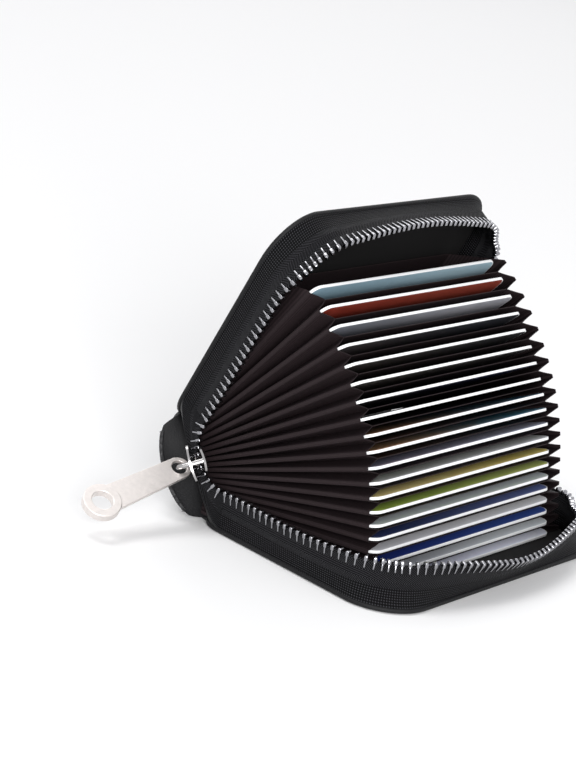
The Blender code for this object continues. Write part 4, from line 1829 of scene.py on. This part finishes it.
    def build(self, satin: bpy.types.Material) -> None:
        """Makes both gussets and every leaf."""
        for side in (-1, 1):
            for card in range(1, SIZES.card_count + 1):
                self.pleat(card, card - 1, side, satin)
                self.pleat(card, card, side, satin)
        for number in range(SIZES.card_count + 1):
            self.leaf(number, satin)


CARD_COLOURS: list[tuple[str, Colour, Colour]] = [
    ("card_blue_grey", (0.22, 0.34, 0.41), (0.34, 0.48, 0.55)),
    ("card_red", (0.22, 0.030, 0.018), (0.26, 0.045, 0.028)),
    ("card_grey", (0.17, 0.18, 0.21), (0.42, 0.42, 0.46)),
    ("card_dark", (0.040, 0.034, 0.036), (0.030, 0.032, 0.040)),
    ("card_dark", (0.045, 0.038, 0.036), (0.040, 0.040, 0.044)),
    ("card_dark", (0.070, 0.062, 0.058), (0.050, 0.046, 0.048)),
    ("card_dark", (0.055, 0.050, 0.055), (0.040, 0.052, 0.130)),
    ("card_dark", (0.070, 0.060, 0.062), (0.080, 0.100, 0.180)),
    ("card_orange", (0.62, 0.33, 0.17), (0.12, 0.34, 0.50)),
    ("card_orange", (0.66, 0.38, 0.20), (0.10, 0.40, 0.58)),
    ("card_lilac", (0.36, 0.34, 0.46), (0.62, 0.62, 0.76)),
    ("card_white", (0.66, 0.68, 0.63), (0.90, 0.92, 0.92)),
    ("card_gold", (0.92, 0.74, 0.32), (0.90, 0.72, 0.20)),
    ("card_green", (0.36, 0.50, 0.09), (0.60, 0.68, 0.22)),
    ("card_grey", (0.58, 0.62, 0.64), (0.74, 0.80, 0.84)),
    ("card_navy", (0.028, 0.040, 0.125), (0.14, 0.18, 0.40)),
    ("card_white", (0.72, 0.72, 0.76), (0.88, 0.89, 0.90)),
    ("card_navy", (0.018, 0.035, 0.20), (0.040, 0.085, 0.32)),
    ("card_grey", (0.38, 0.39, 0.43), (0.72, 0.76, 0.78)),
    ("card_lilac", (0.70, 0.71, 0.90), (0.84, 0.86, 0.97)),
]


@dataclass
class Cards:
    """The twenty cards, each one rounded plate with a white rim and coloured faces."""

    margin: float = 0.00028
    edge_bevel: float = 0.00007

    def pattern(self) -> bpy.types.Object:
        """One card whose outer edge lies on x = 0, centred on y = 0 and z = 0."""
        piece = Bench.plate(
            "card_pattern",
            (-SIZES.card_width, -SIZES.card_length / 2),
            (0, SIZES.card_length / 2),
            SIZES.card_thickness,
            (SIZES.card_corner, SIZES.card_corner),
            12,
        )
        top = SIZES.card_thickness
        with Bench.editing(piece):
            Bench.pick(Pick.FACES, lambda at: at.z < TINY or at.z > top - TINY)
            bpy.ops.mesh.inset(thickness=self.margin, use_individual=True)
            corners = (SIZES.card_corner, SIZES.card_corner)
            Bench.pick(Pick.EDGES, on_rim(-SIZES.card_width, 0, SIZES.card_length / 2, top, corners))
            Bench.bevel(self.edge_bevel, 2)
        Bench.place(piece, Matrix.Translation((0, 0, -top / 2)))
        for face in piece.data.polygons:
            face.material_index = 1 if len(face.vertices) > 8 else 0
        return piece

    def build(self, edge: bpy.types.Material) -> None:
        """Makes every card in its pocket."""
        pattern = self.pattern()
        for number in range(1, SIZES.card_count + 1):
            slot, near, far = CARD_COLOURS[number - 1]
            finish = CardFace(f"card_face_{number:02d}", near, far)
            place = Matrix.Translation(
                (SIZES.card_reach(number), -SIZES.card_end_shift, SIZES.card_height(number))
            )
            matrix = fan_matrix(SIZES.card_angle(number)) @ place
            piece = Bench.copy(pattern, f"pocket_card_{number:02d}", matrix)
            Bench.smooth(piece, 40)
            dress(piece, edge, finish.make())
            body = "back_cover" if number == SIZES.card_count else f"card_{number:02d}"
            seat(piece, body, slot, f"card_{number:02d}")
        Bench.drop(pattern)


# Studio.


@dataclass
class Studio:
    """Camera, floor, world and lamps."""

    right: Point = (0.769, 0.614, 0.179)
    back: Point = (0.555, -0.779, 0.291)
    aim: Point = (-0.02806, -0.02544, 0.03925)
    distance: float = 0.65
    lens: float = 112.2
    floor_size: float = 6.0
    lit: Colour = (0.42, 0.42, 0.43)
    seen: Colour = (1.02, 1.02, 1.03)
    floor_colour: Colour = (0.96, 0.96, 0.962)
    lamps: tuple[tuple[str, Point, float, float], ...] = (
        ("key", (-0.5, -0.6, 2.0), 1.0, 17.0),
        ("front", (1.35, -1.35, 0.62), 0.9, 42.0),
        ("rim", (-0.9, 1.2, 1.2), 0.8, 5.0),
    )

    def camera(self) -> None:
        """The camera at the photograph's viewing angle."""
        back = Vector(self.back).normalized()
        right = Vector(self.right)
        right = (right - back * right.dot(back)).normalized()
        up = back.cross(right)
        data = bpy.data.cameras.new("camera")
        data.lens = self.lens
        data.sensor_width = 36
        data.clip_start = 0.05
        data.clip_end = 20
        camera = bpy.data.objects.new("camera", data)
        place = Vector(self.aim) + back * self.distance
        matrix = axes_matrix(right, up, back)
        matrix.translation = place
        camera.matrix_world = matrix
        bpy.context.scene.collection.objects.link(camera)
        bpy.context.scene.camera = camera

    def floor(self) -> None:
        """A plain pale floor that keeps the object's shadow."""
        Bench.clear()
        bpy.ops.mesh.primitive_plane_add(size=self.floor_size, location=(0, 0, -0.0002))
        floor = Bench.added("studio_floor")
        paint = Paint("studio_floor", self.floor_colour, 0.75, specular=0.1)
        floor.data.materials.append(paint.material)

    def world(self) -> None:
        """A white room to the camera and in reflections, and a softer one as light."""
        world = bpy.data.worlds.new("studio")
        world.use_nodes = True
        tree = world.node_tree
        background = tree.nodes["Background"]
        rays = tree.nodes.new("ShaderNodeLightPath")
        seen = rays.outputs["Is Camera Ray"]
        for ray in ("Is Glossy Ray", "Is Transmission Ray"):
            either = tree.nodes.new("ShaderNodeMath")
            either.operation = "MAXIMUM"
            tree.links.new(seen, either.inputs[0])
            tree.links.new(rays.outputs[ray], either.inputs[1])
            seen = either.outputs[0]
        mix = tree.nodes.new("ShaderNodeMix")
        mix.data_type = "RGBA"
        tree.links.new(seen, mix.inputs[0])
        mix.inputs[6].default_value = (*self.lit, 1)
        mix.inputs[7].default_value = (*self.seen, 1)
        tree.links.new(mix.outputs[2], background.inputs["Color"])
        background.inputs["Strength"].default_value = 1.0
        bpy.context.scene.world = world

    def lamp(self, name: str, place: Point, size: float, power: float) -> None:
        """A soft square lamp that faces the wallet."""
        data = bpy.data.lights.new(name, "AREA")
        data.shape = "SQUARE"
        data.size = size
        data.energy = power
        lamp = bpy.data.objects.new(name, data)
        lamp.location = place
        away = Vector(place) - Vector((0, 0, 0.03))
        lamp.rotation_euler = away.to_track_quat("Z", "Y").to_euler()
        bpy.context.scene.collection.objects.link(lamp)

    def build(self) -> None:
        """Sets up the whole studio."""
        self.camera()
        self.floor()
        self.world()
        for lamp in self.lamps:
            self.lamp(*lamp)
        bpy.context.scene.view_settings.view_transform = "Standard"


def main() -> None:
    """Builds the wallet's looks piece by piece."""
    logging.basicConfig(level=logging.INFO, format="%(message)s")
    Studio().build()
    pebbled = Pebbled().make()
    fine = FineLeather().make()
    weave = Tape().make()
    satin = Satin().make()
    thread = Thread().make()
    teeth = Metal("black_nickel", (0.34, 0.34, 0.36), 0.13).make()
    gunmetal = Metal("gunmetal_plating", (0.42, 0.41, 0.41), 0.12).make()
    nickel = Metal("pale_nickel", (0.86, 0.81, 0.78), 0.30, 0.1).make()
    lining = Plain("lining_cloth", (0.007, 0.0065, 0.0068)).make()
    board = Plain("grey_board", (0.2, 0.19, 0.18)).make()
    for side in Side:
        cover = Cover(side)
        cover.shell(pebbled, fine)
        cover.stitches(thread)
        row = ZipRow(side)
        row.tape(weave)
        row.teeth(teeth)
        cover.inside("board", cover.board_low, cover.board_wall, cover.board_inset, board)
        cover.inside("lining", cover.lining_low, cover.lining_wall, cover.lining_inset, lining)
        NearEnd(side).build(weave, fine, teeth)
    Spine().build(pebbled)
    SpineEnd().build(fine)
    Slider().build(gunmetal, nickel)
    Accordion().build(satin)
    Cards().build(CardEdge().make())
    dress(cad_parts["zip_tape_tail"], weave)
    dress(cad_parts["zip_bottom_stop"], gunmetal)


if __name__ == "__main__":
    main()
